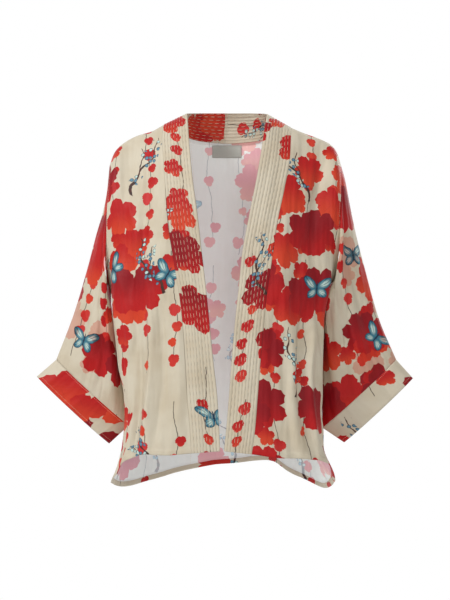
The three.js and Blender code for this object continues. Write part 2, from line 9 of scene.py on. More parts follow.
import bmesh
import bpy
import numpy as np
from mathutils import Matrix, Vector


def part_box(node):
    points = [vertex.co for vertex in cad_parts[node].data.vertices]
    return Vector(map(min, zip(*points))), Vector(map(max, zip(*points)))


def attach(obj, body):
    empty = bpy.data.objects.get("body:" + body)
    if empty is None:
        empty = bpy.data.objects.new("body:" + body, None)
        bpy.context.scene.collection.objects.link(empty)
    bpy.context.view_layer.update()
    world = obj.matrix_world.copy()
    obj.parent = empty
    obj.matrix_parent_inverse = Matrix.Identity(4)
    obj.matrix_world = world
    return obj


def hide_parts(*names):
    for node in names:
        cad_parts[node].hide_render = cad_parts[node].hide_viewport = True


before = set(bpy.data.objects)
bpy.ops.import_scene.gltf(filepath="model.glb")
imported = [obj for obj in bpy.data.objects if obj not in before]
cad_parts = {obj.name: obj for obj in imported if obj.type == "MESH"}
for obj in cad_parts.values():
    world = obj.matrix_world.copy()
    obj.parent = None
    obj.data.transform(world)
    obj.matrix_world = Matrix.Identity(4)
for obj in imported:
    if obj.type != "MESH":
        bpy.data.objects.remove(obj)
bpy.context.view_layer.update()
print("frame nodes", len(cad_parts))

# %% [markdown]
# ## Camera
# The photo looks straight at the front from chest height. A long lens three metres away keeps
# the near front and the far back almost the same size, as in the photo.

# %% Camera
lens = bpy.data.cameras.new("camera")
lens.lens = 98.9
lens.sensor_width = 36
camera = bpy.data.objects.new("camera", lens)
camera.location = (-0.0055, -3.0, -0.3185)
camera.rotation_euler = (math.radians(90), 0, 0)
bpy.context.collection.objects.link(camera)
bpy.context.scene.camera = camera

# %% [markdown]
# ## Sizes
# Lengths are in millimetres until a mesh is made. X runs to the photo's right, Y from front to
# back and Z up, from the middle of the shoulder line. The tables are read as smooth curves:
# a few measured rows say more than a long list of points.

# %% Smooth tables
SHELL = 0.9  # thickness of the cloth as shown
PLAIN_SHARE = 0.6  # how thick plain cloth is beside a turned hem
ARMHOLE_ROWS = 8
GUSSET_ROWS = 3
LAST_ROW = 22
FRONT_COLUMNS = 12
NECK_COLUMNS = 10
BACK_COLUMNS = 2 * FRONT_COLUMNS + NECK_COLUMNS
SIDE_START = ARMHOLE_ROWS + GUSSET_ROWS
LOW_ROW, HEM_ROW = LAST_ROW - 2, LAST_ROW - 1
HEM_FOLD = 21.02  # the row where the turned hem begins
GUSSET_DROP = 0.135  # shares of the way from shoulder to hem
LOW_DROP, HEM_DROP = 0.93, 0.985
ARMHOLE_SWEEP = 130  # degrees of the armhole that each panel follows
NECK_TURN = 28
NECK_BULGE = 4  # how far the band bows out behind the neck
FRONT_TURN, BACK_TURN = 78, 102  # degrees round the body, at the armhole
EDGE_SHARE = 0.45  # the share of a panel that gives way to its outer edge
SIGN = {"left": -1, "right": 1}  # sides of the photo


def mix(a, b, share):
    return a + (b - a) * share


def clamp(value):
    return min(1.0, max(0.0, value))


def smooth(value):
    return clamp(value) ** 2 * (3 - 2 * clamp(value))


def evenly(first, last, count):
    return [first + (last - first) * k / count for k in range(count + 1)]


class Table:
    """Named columns read as smooth curves of the first one."""

    def __init__(self, names, rows):
        self.names = names.split()
        self.rows = rows
        self.seen = {}

    def slope(self, i, k):
        rows = self.rows
        steps = []
        for a, b in ((i - 1, i), (i, i + 1)):
            if a >= 0 and b < len(rows):
                steps.append((rows[b][k] - rows[a][k]) / (rows[b][0] - rows[a][0]))
        if len(steps) == 1:
            return steps[0]
        before, after = steps
        return 0 if before * after <= 0 else 2 * before * after / (before + after)

    def __call__(self, at):
        rows = self.rows
        x = min(max(at, rows[0][0]), rows[-1][0])
        if x in self.seen:
            return self.seen[x]
        i = 0
        while i < len(rows) - 2 and x > rows[i + 1][0]:
            i += 1
        span = rows[i + 1][0] - rows[i][0]
        t = (x - rows[i][0]) / span
        found = {}
        for k, name in enumerate(self.names):
            p, q = rows[i][k], rows[i + 1][k]
            m, n = self.slope(i, k) * span, self.slope(i + 1, k) * span
            found[name] = (((2 * p - 2 * q + m + n) * t + 3 * q - 3 * p - 2 * m - n) * t + m) * t + p
        self.seen[x] = found
        return found


def both_sides(names, left, right):
    return {"left": Table(names, left), "right": Table(names, right)}


# %% The body's tables
BODY = Table(
    "drop left right front back square in_left in_right corner_left corner_right fore_left fore_right",
    [
        [0.0, 208, 200, 0, 3, 2.2, 0, 0, 0, 0, 0, 0],
        [0.008, 206, 198, 14, 17, 2.3, 0, 0, 0, 0, 0, 0],
        [0.03, 202, 193, 28, 32, 2.4, 0, 0, 0, 0, 0, 0],
        [0.066, 197, 186, 44, 50, 2.5, 0, 0, 0, 0, 0, 0],
        [0.113, 193, 180, 60, 70, 2.6, 0, 0, 0, 0, 0, 0],
        [0.166, 191, 176, 76, 88, 2.7, 0, 0, 0, 0, 0, 0],
        [0.22, 190, 173, 88, 101, 2.8, 0, 0, 0, 0, 0, 0],
        [0.3, 188, 168, 100, 114, 2.9, -0.04, -0.02, 0, 0, 0, 0.02],
        [0.38, 187, 160, 106, 118, 2.9, -0.09, -0.06, 0.01, 0.04, 0.05, 0.13],
        [0.46, 186, 152, 110, 121, 2.9, -0.11, -0.11, 0.02, 0.09, 0.11, 0.2],
        [0.55, 186, 147, 113, 122, 2.9, -0.08, -0.12, 0.03, 0.11, 0.11, 0.16],
        [0.65, 187, 148, 116, 123, 2.9, -0.04, -0.11, 0.05, 0.11, 0.08, 0.14],
        [0.75, 190, 157, 117, 124, 2.9, 0.04, -0.05, 0.07, 0.08, 0.05, 0.1],
        [0.86, 196, 171, 118, 125, 2.9, 0.1, 0.09, 0.07, 0.02, 0.055, 0.09],
        [0.94, 204, 182, 118, 126, 2.8, 0.04, 0.07, 0.03, 0, 0.02, 0.03],
        [1.0, 212, 194, 118, 127, 2.7, 0, 0, 0, 0, 0, 0],
    ],
)
SIDE_SEAM = Table(
    "drop left right",
    [[0, 78, 78], [0.33, 78, 78], [0.45, 86, 84], [0.6, 80, 76], [0.8, 60, 64], [0.9, 60, 62], [1, 66, 64]],
)
BAND = Table(
    "drop seam_left open_left seam_right open_right",
    [
        [0.0, 116.5, 74.3, 114.6, 70.6],
        [0.045, 119, 71.8, 113, 66],
        [0.1, 116.5, 69.2, 110.8, 61],
        [0.2, 111.5, 63.2, 99.8, 50.8],
        [0.31, 106, 54, 86.3, 37.5],
        [0.43, 95.5, 45.8, 76, 24.3],
        [0.52, 86.5, 39.4, 68, 18.8],
        [0.62, 79.5, 33.2, 62.2, 12.4],
        [0.74, 75, 26, 55.6, 6],
        [0.84, 71.6, 19.2, 51.2, 1.6],
        [0.92, 67.4, 16.2, 47.4, -2.4],
        [1.0, 64.2, 14.2, 41.5, -7.2],
    ],
)
BAND_TOP = {"left": 21, "right": 20, "hem": -583}
SHOULDER = both_sides(
    "share x y z",
    [
        [0.0, 116.5, 5, 0.7],
        [0.25, 140, 5, -12],
        [0.5, 165, 5, -19.5],
        [0.75, 190, 6, -33],
        [0.9, 206, 8, -49],
        [1.0, 214.4, 10, -70],
    ],
    [
        [0.0, 114.6, 5, -4.9],
        [0.25, 140, 5, -15.5],
        [0.5, 162, 5, -23.5],
        [0.75, 186, 6, -35],
        [0.9, 198, 8, -49.5],
        [1.0, 205, 10, -71],
    ],
)
FRONT_HEM = both_sides(
    "share z",
    [[0, -587], [0.25, -591], [0.45, -590], [0.65, -597], [0.85, -607], [1, -629]],
    [[0, -588.5], [0.25, -596], [0.5, -597.5], [0.75, -602], [1, -610]],
)
BACK_HEM_LEFT = [[0.0, -629], [0.1, -652], [0.22, -666], [0.32, -657], [0.42, -640]]
BACK_HEM_RIGHT = [[0.58, -622], [0.68, -650], [0.79, -668], [0.9, -648], [1.0, -610]]
BACK_HEM = Table("share z", [*BACK_HEM_LEFT, [0.5, -628.5], *BACK_HEM_RIGHT])
NECKLINE = Table(
    "share x y z top_x top_y top_z",
    [
        [0.0, -116.5, 5, 0.7, -74.3, 5, 21],
        [0.1, -101, 34, -7, -68, 33, 24.5],
        [0.2, -83, 61, -14.5, -60, 58, 27.5],
        [0.35, -47, 88, -22, -37, 76, 29.5],
        [0.5, 0, 96, -25, 0, 81, 30],
        [0.65, 47, 88, -22.5, 36, 76, 29.5],
        [0.8, 82, 61, -16, 57, 58, 27],
        [0.9, 99, 34, -10, 64.5, 33, 24],
        [1.0, 114.6, 5, -4.9, 70.6, 5, 20],
    ],
)

# %% The sleeves' tables
ARMHOLE = {
    "left": {"top_x": 214.4, "top_z": -70, "under_x": 221, "under_z": -290, "middle": 10, "depth": 52},
    "right": {"top_x": 205, "top_z": -71, "under_x": 197, "under_z": -284, "middle": 10, "depth": 50},
}
RING = "along top_x top_z under_x under_z middle depth sharp"
SLEEVE = both_sides(
    RING,
    [
        [0.0, 214.4, -70, 221, -290, 10, 52, 0],
        [0.14, 219, -112, 222.5, -330, 12, 53, 0.05],
        [0.28, 226, -150, 213, -366, 13, 53, 0.1],
        [0.44, 240, -198, 206, -400, 14, 51, 0.15],
        [0.6, 257, -262, 198, -438, 15, 47, 0.2],
        [0.8, 281, -342, 190, -482, 16, 40, 0.3],
        [1.0, 314, -428, 182, -548, 18, 25, 0.4],
    ],
    [
        [0.0, 205, -71, 197, -284, 10, 50, 0],
        [0.14, 213, -99, 191, -312, 10, 56, 0.05],
        [0.28, 221, -140, 179, -338, 11, 55, 0.1],
        [0.44, 233, -196, 172, -371, 14, 49, 0.15],
        [0.6, 250, -262, 171, -415, 15, 45, 0.2],
        [0.8, 276, -354, 172, -474, 16, 38, 0.3],
        [1.0, 307.5, -428, 173, -552, 18, 25, 0.4],
    ],
)
# a cuff starts as its sleeve ends
CUFF = both_sides(
    RING,
    [[0.0, *SLEEVE["left"].rows[-1][1:]], [1.0, 350, -459, 218, -581, 20, 22, 0.5]],
    [[0.0, *SLEEVE["right"].rows[-1][1:]], [1.0, 338.5, -462, 213, -579, 20, 22, 0.5]],
)
BODY_FOLDS = [
    # degrees round the body, width in degrees, height, how far down it starts
    [33, 5, 5, 0.35],
    [45, 5, -5, 0.3],
    [318, 6, 5, 0.3],
    [330, 5, -4, 0.4],
    [128, 9, -9, 0.3],
    [152, 7, 8, 0.35],
    [170, 7, -8, 0.25],
    [192, 7, 7, 0.35],
    [212, 7, -9, 0.3],
    [236, 9, 6, 0.3],
]
SLEEVE_FOLDS = [
    # degrees round the sleeve at the armhole, at the cuff, width in degrees, height
    [62, 96, 13, -5],
    [98, 128, 12, 4],
    [262, 236, 14, -5],
    [300, 276, 13, 4],
]

# %% [markdown]
# ## The worn shape
# A garment on a body is a set of cross-sections. Each section is a rounded square that is wider
# in places where the cloth hangs free. Rows run from the shoulder line to the hem, and the outer
# edge of a panel follows first the armhole, then the gusset, then the side seam.


# %% Sections of the body
def section(side, degrees, drop):
    body = BODY(drop)
    s, c = abs(math.sin(math.radians(degrees))), math.cos(math.radians(degrees))
    power = 2 / body["square"]
    corner = math.exp(-(((degrees - 112) / 16) ** 2)) if c < 0 else 0
    fore = math.exp(-(((degrees - 66) / 13) ** 2)) if c > 0 else 0
    stand = body["corner_" + side] * corner + body["fore_" + side] * fore
    girth = 1 - body["in_" + side] * s**8 + stand
    turn = degrees if side == "left" else 360 - degrees
    fold = 0
    for at, width, height, start in BODY_FOLDS:
        grown = clamp((drop - start) / (1 - start)) ** 1.5
        fold += height * grown * math.exp(-(((turn - at) / width) ** 2))
    depth = body["front"] if c >= 0 else body["back"]
    x = body[side] * s**power * girth
    y = -math.copysign(depth * abs(c) ** power + fold * abs(c), c)
    return SIGN[side] * x, y


def drop_at(side, row):
    hole = ARMHOLE[side]
    hem = FRONT_HEM[side](1)["z"]
    middle = (hole["top_z"] + hole["under_z"]) / 2

    def share_at(turned):
        z = middle + (hole["top_z"] - middle) * math.cos(math.radians(turned))
        return (hole["top_z"] - z) / (hole["top_z"] - hem)

    armhole_end = share_at(ARMHOLE_SWEEP)
    gusset_end = armhole_end + GUSSET_DROP
    if row <= ARMHOLE_ROWS:
        return share_at(row / ARMHOLE_ROWS * ARMHOLE_SWEEP)
    if row <= SIDE_START:
        return mix(armhole_end, gusset_end, (row - ARMHOLE_ROWS) / GUSSET_ROWS)
    if row <= LOW_ROW:
        return mix(gusset_end, LOW_DROP, (row - SIDE_START) / (LOW_ROW - SIDE_START))
    if row <= HEM_ROW:
        return mix(LOW_DROP, HEM_DROP, row - LOW_ROW)
    return mix(HEM_DROP, 1, row - HEM_ROW)


def armhole_point(side, turned):
    hole = ARMHOLE[side]
    down = (1 - math.cos(math.radians(turned))) / 2
    return (
        SIGN[side] * mix(hole["top_x"], hole["under_x"], down),
        hole["middle"] - hole["depth"] * math.sin(math.radians(turned)),
        mix(hole["top_z"], hole["under_z"], down),
    )


def outer_edge(side, row, face):
    z = mix(ARMHOLE[side]["top_z"], FRONT_HEM[side](1)["z"], drop_at(side, row))
    if row <= ARMHOLE_ROWS:
        turned = row / ARMHOLE_ROWS * ARMHOLE_SWEEP
        return armhole_point(side, turned if face == "front" else 360 - turned)

    def side_point(drop):
        return section(side, SIDE_SEAM(drop)[side], drop)

    if row < SIDE_START:
        x, y, _ = outer_edge(side, ARMHOLE_ROWS, face)
        end_x, end_y = side_point(drop_at(side, SIDE_START))
        share = (row - ARMHOLE_ROWS) / GUSSET_ROWS
        return mix(x, end_x, share), mix(y, end_y, share), z
    return (*side_point(drop_at(side, row)), z)


# %% The front panels and the band
def band_angle(side, edge, drop):
    body = BODY(drop)
    across = clamp(abs(BAND(drop)[edge + "_" + side] / body[side]))
    return math.degrees(math.asin(across ** (body["square"] / 2)))


def shoulder_share(drop):
    return clamp(1 - drop / 0.3) ** 3.5


def front_point(side, share, row):
    drop = drop_at(side, row)
    to = FRONT_TURN if row < ARMHOLE_ROWS else SIDE_SEAM(drop)[side]
    at = section(side, mix(band_angle(side, "seam", drop), to, share), drop)
    end = section(side, to, drop)
    edge = outer_edge(side, row, "front")

    def top_shift(where):
        top = SHOULDER[side](where)
        plain = section(side, mix(band_angle(side, "seam", 0), FRONT_TURN, where), 0)
        return SIGN[side] * top["x"] - plain[0], top["y"] - plain[1]

    left = shoulder_share(drop)
    pull = smooth((share - 1 + EDGE_SHARE) / EDGE_SHARE)
    shift, end_shift = top_shift(share), top_shift(1)
    x, y = (at[k] + shift[k] * left + (edge[k] - end[k] - end_shift[k] * left) * pull for k in (0, 1))
    return x, y, mix(SHOULDER[side](share)["z"], FRONT_HEM[side](share)["z"], drop)


def front_band_point(side, share, row):
    drop = drop_at(side, row)
    seam = front_point(side, 0, row)
    body = BODY(drop)

    def depth_at(x):
        across = clamp(abs(x) / body[side]) ** body["square"]
        return -body["front"] * (1 - across) ** (1 / body["square"])

    open_x = SIGN[side] * BAND(drop)["open_" + side]
    open_y = depth_at(open_x) + 5 * shoulder_share(drop)
    x = mix(seam[0], open_x, share)
    rise = depth_at(x) - mix(depth_at(seam[0]), depth_at(open_x), share)
    open_z = mix(BAND_TOP[side], BAND_TOP["hem"], drop)
    return x, mix(seam[1], open_y, share) + rise, mix(seam[2], open_z, share)


def neck_band_point(column, share):
    n = NECKLINE(column / NECK_COLUMNS)
    bulge = NECK_BULGE * math.sin(math.pi * share) * math.sin(math.pi * column / NECK_COLUMNS)
    return (
        mix(n["x"], n["top_x"], share),
        mix(n["y"], n["top_y"], share) + bulge,
        mix(n["z"], n["top_z"], share),
    )


# %% The back panel
def back_top(column):
    past = column - FRONT_COLUMNS - NECK_COLUMNS
    if column < FRONT_COLUMNS:
        top = SHOULDER["left"](1 - column / FRONT_COLUMNS)
        return -top["x"], top["y"], top["z"]
    if past > 0:
        top = SHOULDER["right"](past / FRONT_COLUMNS)
    else:
        top = NECKLINE((column - FRONT_COLUMNS) / NECK_COLUMNS)
    return top["x"], top["y"], top["z"]


def back_section(column, drop, outer):
    neck_start = 180 - NECK_TURN
    past = column - FRONT_COLUMNS - NECK_COLUMNS
    if column < FRONT_COLUMNS:
        turn = mix(outer["left"], neck_start, column / FRONT_COLUMNS)
    elif past > 0:
        turn = mix(360 - neck_start, 360 - outer["right"], past / FRONT_COLUMNS)
    else:
        turn = mix(neck_start, 360 - neck_start, (column - FRONT_COLUMNS) / NECK_COLUMNS)
    return section("left", turn, drop) if turn <= 180 else section("right", 360 - turn, drop)


PLAIN_EDGE = {"left": BACK_TURN, "right": BACK_TURN}


def back_point(column, row):
    across = column / BACK_COLUMNS
    drops = {side: drop_at(side, row) for side in SIGN}
    drop = mix(drops["left"], drops["right"], across)
    turned = smooth((row - ARMHOLE_ROWS) / GUSSET_ROWS)
    outer = {side: mix(BACK_TURN, SIDE_SEAM(drops[side])[side], turned) for side in SIGN}
    at = back_section(column, drop, outer)
    top = back_top(column)
    plain = back_section(column, 0, PLAIN_EDGE)
    left = shoulder_share(drop)
    point = [at[k] + (top[k] - plain[k]) * left for k in (0, 1)]
    for side, end_column in (("left", 0), ("right", BACK_COLUMNS)):
        pull = smooth(1 - abs(column - end_column) / FRONT_COLUMNS / EDGE_SHARE)
        if pull == 0:
            continue
        edge = outer_edge(side, row, "back")
        end = back_section(end_column, drops[side], outer)
        end_top = back_top(end_column)
        end_plain = back_section(end_column, 0, PLAIN_EDGE)
        end_left = shoulder_share(drops[side])
        for k in (0, 1):
            point[k] += (edge[k] - end[k] - (end_top[k] - end_plain[k]) * end_left) * pull
    return point[0], point[1], mix(top[2], BACK_HEM(across)["z"], drop)


# %% The gussets, sleeves and cuffs
def gusset_point(side, share, row):
    front, back = outer_edge(side, row, "front"), outer_edge(side, row, "back")
    hang = (1 - (row - ARMHOLE_ROWS) / GUSSET_ROWS) ** 2
    arc = armhole_point(side, mix(ARMHOLE_SWEEP, 360 - ARMHOLE_SWEEP, share))
    front_arc = armhole_point(side, ARMHOLE_SWEEP)
    back_arc = armhole_point(side, 360 - ARMHOLE_SWEEP)
    return tuple(
        mix(front[k], back[k], share) + (arc[k] - mix(front_arc[k], back_arc[k], share)) * hang
        for k in (0, 1, 2)
    )


def tube_point(side, tube, turned, along, folded):
    ring = tube[side](along)
    s = math.sin(math.radians(turned))
    down = (1 - math.cos(math.radians(turned))) / 2
    depth = ring["depth"] * abs(s) ** (1 + ring["sharp"])
    if folded:
        for start, end, width, height in SLEEVE_FOLDS:
            grown = max(0.0, math.sin(math.pi * clamp(along))) ** 0.8
            depth += height * grown * math.exp(-(((turned - mix(start, end, along)) / width) ** 2))
    return (
        SIGN[side] * mix(ring["top_x"], ring["under_x"], down),
        ring["middle"] - math.copysign(depth, s) * (abs(s) > 1e-9),
        mix(ring["top_z"], ring["under_z"], down),
    )


# %% [markdown]
# ## From shape to cloth
# A grid of points is bent into place with the functions above. Soft folds are then pressed into
# it: each is a line on the cloth with a width and a height, fading at its ends. The same
# distances over the cloth, in metres, become its UV map, so the print lies as on flat cloth.


# %% Points of a piece
def grid_of(point_at, across, along):
    return np.array([[point_at(a, b) for a in across] for b in along], float)


def unit(vectors):
    return vectors / np.maximum(np.linalg.norm(vectors, axis=-1, keepdims=True), 1e-9)


def normals_of(points, closed, flip):
    if closed:
        ring = np.concatenate([points[:, -2:-1], points, points[:, 1:2]], axis=1)
        across = ring[:, 2:] - ring[:, :-2]
    else:
        across = np.gradient(points, axis=1)
    down = np.gradient(points, axis=0)
    normals = unit(np.cross(unit(across), unit(down)))
    return -normals if flip else normals


def lengths_along(points, axis):
    steps = np.linalg.norm(np.diff(points, axis=axis), axis=-1)
    total = np.cumsum(steps, axis=axis)
    pad = [(1, 0) if k == axis else (0, 0) for k in (0, 1)]
    return np.pad(total, pad)


def lengths_across(points, v):
    """How far across the cloth each point is, where v already says how far up it is."""
    steps = np.sum(np.diff(points, axis=1) ** 2, axis=-1) - np.diff(v, axis=1) ** 2
    total = np.cumsum(np.sqrt(np.maximum(steps, 0.01)), axis=1)
    return np.pad(total, [(0, 0), (1, 0)])


def lengths_down(points, normals):
    """How far down the cloth each point is; where it hangs, steps to the side don't count."""
    steps = np.diff(points, axis=0)
    facing = unit(normals[1:] + normals[:-1])
    down = unit(facing * facing[..., 2:] - [0, 0, 1])
    level = np.clip((np.abs(facing[..., 2]) - 0.5) / 0.3, 0, 1)
    sizes = np.linalg.norm(steps, axis=-1) * level + np.sum(steps * down, axis=-1) * (1 - level)
    return np.pad(np.cumsum(sizes, axis=0), [(1, 0), (0, 0)])


def pressed(points, normals, u, v, creases):
    """Moves points out or in along soft lines over the cloth."""
    lift = np.zeros(u.shape)
    for u0, v0, u1, v1, width, height in creases:
        du, dv = u1 - u0, v1 - v0
        size = math.hypot(du, dv)
        t = ((u - u0) * du + (v - v0) * dv) / size**2
        bow = 0.06 * size * np.sin(np.pi * np.clip(t, 0, 1))
        away = ((u - u0) * dv - (v - v0) * du) / size - bow
        ends = np.clip(np.minimum(t, 1 - t) * 3.5 + 0.25, 0, 1)
        lift += height * np.exp(-((away / width) ** 2)) * ends**2 * (3 - 2 * ends)
    return points + normals * lift[..., None]


# %% [markdown]
# ## Making the mesh
# Blender's own grid operator makes the faces, and only its points are moved. Solidify then adds
# the thickness, with the inner face in a second, paler material, because the print shows weaker
# on the wrong side of thin cloth.


# %% Mesh of a piece
def cloth_mesh(name, points, uv, flip, closed=False, thick=None, rows_map=None, turned_from=None):
    rows, columns = points.shape[:2]
    mesh = bpy.data.meshes.new(name)
    bm = bmesh.new()
    bmesh.ops.create_grid(bm, x_segments=columns - 1, y_segments=rows - 1, size=1)
    layer = bm.loops.layers.uv.new("cloth")
    second = bm.loops.layers.uv.new("rows") if rows_map is not None else None
    group = bm.verts.layers.deform.new()
    place = {}
    for vert in bm.verts:
        i = round((vert.co.x + 1) / 2 * (columns - 1))
        j = round((vert.co.y + 1) / 2 * (rows - 1))
        place[vert] = (i, j)
    for face in bm.faces:
        for loop in face.loops:
            i, j = place[loop.vert]
            loop[layer].uv = uv[j, i]
            if second:
                loop[second].uv = rows_map[j, i]
        if turned_from is not None and min(place[vert][1] for vert in face.verts) >= turned_from:
            face.material_index = 2
    for vert, (i, j) in place.items():
        vert.co = points[j, i] / 1000
        vert[group][0] = PLAIN_SHARE if thick is None else float(thick[j, i])
    outward = normals_of(points, closed, flip)[rows // 2, columns // 2]
    probe = min(bm.verts, key=lambda w: abs(place[w][0] - columns // 2) + abs(place[w][1] - rows // 2))
    bm.normal_update()
    if probe.normal.dot(outward) < 0:
        bmesh.ops.reverse_faces(bm, faces=bm.faces)
    if closed:
        bmesh.ops.remove_doubles(bm, verts=bm.verts, dist=1e-6)
    bm.to_mesh(mesh)
    bm.free()
    mesh.shade_smooth()
    piece = bpy.data.objects.new("cloth_" + name, mesh)
    piece.vertex_groups.new(name="thick")
    bpy.context.collection.objects.link(piece)
    shell = piece.modifiers.new("thickness", "SOLIDIFY")
    shell.thickness = SHELL / 1000 / PLAIN_SHARE
    shell.offset = 0
    shell.use_even_offset = False
    shell.vertex_group = "thick"
    shell.material_offset = 1
    print(name, len(mesh.polygons), "faces")
    return piece


def dense_ends(count, ends=3):
    """Shares from 0 to 1 that are closer together near both ends."""
    inner = [k / count for k in range(1, count)]
    near = [0.012 * (k / ends) / (count / 40) for k in range(ends)]
    return near + inner + [1 - share for share in reversed(near)]


# %% Rows that suit the body
BODY_ROWS = [0.0]
for last, count in ((ARMHOLE_ROWS, 44), (SIDE_START, 14), (LOW_ROW, 60), (HEM_ROW, 8)):
    BODY_ROWS += evenly(BODY_ROWS[-1], last, count)[1:]
BODY_ROWS += [HEM_FOLD, *evenly(HEM_ROW, LAST_ROW, 4)[1:]]
HEM_START = BODY_ROWS.index(HEM_FOLD)
print(len(BODY_ROWS), "rows from shoulder to hem")


def hem_thick(rows, columns):
    return np.array([[1.0 if row > HEM_ROW else PLAIN_SHARE] * columns for row in rows])


def sheet_area(points):
    across, down = np.diff(points, axis=1)[:-1], np.diff(points, axis=0)[:, :-1]
    return float(np.linalg.norm(np.cross(across, down), axis=-1).sum()) / 1e6


def dress(piece, *materials):
    for material in materials:
        piece.data.materials.append(material)


grids = {}


def finish_piece(piece, nodes, points, cut=None):
    grids[nodes[0]] = points
    width = float(lengths_along(points, 1)[:, -1].max()) / 1000
    length = float(np.median(lengths_along(points, 0)[-1])) / 1000
    width, length = cut or (width, length)
    area = min(sheet_area(points), width * length)
    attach(piece, "root")
    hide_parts(*nodes)
    print(f"{piece.name}: flat {width:.3f} x {length:.3f} m, area {area:.4f} m2")


# %% [markdown]
# ## Words for the print
# A printed pattern is a formula over the flat cloth. A small class wraps one socket of a shader
# node, so that a sum or a product of two values adds the right Math node by itself and the
# pattern can be read as ordinary arithmetic. Distances in the pattern are millimetres of cloth.


# %% Values that add their own nodes
def sum_of(operation, turned=False):
    """A method of Value that adds one Math node; turned has the other value first."""

    def method(value, *others):
        values = (*others, value) if turned else (value, *others)
        return value.shader.maths(operation, *values)

    return method


class Value:
    """One socket of a shader, usable in sums."""

    def __init__(self, shader, socket):
        self.shader, self.socket = shader, socket

    def maths(self, operation, *others):
        return self.shader.maths(operation, self, *others)

    __add__ = __radd__ = sum_of("ADD")
    __mul__ = __rmul__ = sum_of("MULTIPLY")
    __sub__, __rsub__ = sum_of("SUBTRACT"), sum_of("SUBTRACT", turned=True)
    __truediv__, __pow__ = sum_of("DIVIDE"), sum_of("POWER")
    __abs__, __gt__ = sum_of("ABSOLUTE"), sum_of("GREATER_THAN")


class Shader:
    """Adds nodes to one material."""

    def __init__(self, tree):
        self.tree = tree

    def add(self, kind, settings=None, inputs=None, output=0):
        node = self.tree.nodes.new(kind)
        for name, value in (settings or {}).items():
            setattr(node, name, value)
        for key, value in (inputs or {}).items():
            if isinstance(value, Value):
                self.tree.links.new(value.socket, node.inputs[key])
            else:
                node.inputs[key].default_value = value
        return Value(self, node.outputs[output])

    def maths(self, operation, *values):
        return self.add("ShaderNodeMath", {"operation": operation}, dict(enumerate(values)))

    def step(self, value, low, high):
        """0 below low, 1 above high and smooth between."""
        settings = {"interpolation_type": "SMOOTHSTEP"}
        return self.add("ShaderNodeMapRange", settings, {"Value": value, "From Min": low, "From Max": high})

    def point(self, x, y, z=0.0):
        return self.add("ShaderNodeCombineXYZ", None, {"X": x, "Y": y, "Z": z})

    def noise(self, x, y, size, detail=1.0, seed=0.0):
        inputs = {"Vector": self.point(x, y, seed * 37.0), "Scale": 1 / size, "Detail": detail}
        return self.add("ShaderNodeTexNoise", {"noise_dimensions": "3D"}, inputs, "Fac")

    def chance(self, x, y, seed):
        """Three even random numbers that stay the same within a cell."""
        inputs = {"Vector": self.point(x, y, seed)}
        colour = self.add("ShaderNodeTexWhiteNoise", {"noise_dimensions": "3D"}, inputs, "Color")
        return [self.add("ShaderNodeSeparateColor", None, {"Color": colour}, k) for k in (0, 1, 2)]

    def blend(self, share, first, second):
        """The first colour where share is 0, the second where it is 1."""
        return self.add("ShaderNodeMix", {"data_type": "RGBA"}, {0: share, 6: first, 7: second}, 2)


def colour(red, green, blue):
    """A colour seen on a screen, from 0 to 255, as light."""
    found = []
    for part in (red, green, blue):
        part /= 255
        found.append(part / 12.92 if part <= 0.04045 else ((part + 0.055) / 1.055) ** 2.4)
    return (*found, 1.0)


# %% [markdown]
# ## The print
# The real cloth has a busy print in reds on cream with some blue. This one is a plain design of
# the same colours and scale: wide-petalled flowers in groups, small round leaves on hanging
# stems, twigs with blue berries, and butterflies. Each kind of motif lives in cells of its own:
# square ones for flowers and berries, tall ones for stems, twigs and butterflies. Random numbers
# for each cell shift, turn or size its motif, so no two look quite alike. Flowers stand in groups
# because a slow noise decides which of their cells are filled, and berries only show by twigs.

# %% Colours of the print
CREAM = colour(209, 199, 178)
SCARLET = colour(182, 22, 23)
CRIMSON = colour(141, 10, 22)
VERMILION = colour(209, 65, 36)
ROSE = colour(196, 46, 46)
BARK = colour(84, 44, 36)
STEM = colour(58, 44, 40)
BERRY = colour(96, 136, 156)
TEAL = colour(62, 124, 142)
NAVY = colour(28, 52, 74)
PALE_BLUE = colour(188, 212, 204)


# %% One kind of flower in cells
FULL_TURN, QUARTER_TURN = 6.283, 1.57


def cells(s, u, v, size, shift, play, seed):
    """Column and row of a cell, distances from its motif's middle, and its random numbers."""
    across, up = (u + shift[0]) / size[0], (v + shift[1]) / size[1]
    column, row = across.maths("FLOOR"), up.maths("FLOOR")
    random = s.chance(column, row, seed)
    x = (across - column - 0.5) * size[0] - (random[0] - 0.5) * play[0]
    y = (up - row - 0.5) * size[1] - (random[1] - 0.5) * play[1]
    return column, row, x, y, random


def flowers(s, u, v, size, shift, reach, petals, gate_at, seed, ragged=0.05):
    """Where the flowers are, how far down in each, how near a vein, and its random numbers."""
    play = size - 2 * reach
    column, row, x, y, (a, b, c) = cells(s, u, v, (size, size), shift, (play, play), seed)
    radius = (x * x + y * y).maths("SQRT")
    turn = y.maths("ARCTAN2", x) + c * FULL_TURN
    wave = abs((turn * (petals / 2)).maths("COSINE")) ** 0.55
    teeth = abs((turn * 11).maths("SINE"))
    rim = reach * (0.78 + 0.22 * b) * (0.66 + 0.34 * wave - ragged * teeth)
    group = s.noise((column + 0.5) * size * 1.25, (row + 0.5) * size * 0.8, 150, 1.0, seed=3)
    shown = s.step(rim - radius, -0.3, 0.5) * ((group + (c - 0.5) * 0.08) > gate_at)
    vein = s.step(abs((turn * (petals / 2)).maths("SINE")) * radius, 0.9, 0.3) * s.step(radius, 3, 8)
    return shown, y / reach, vein, (a, b, c)


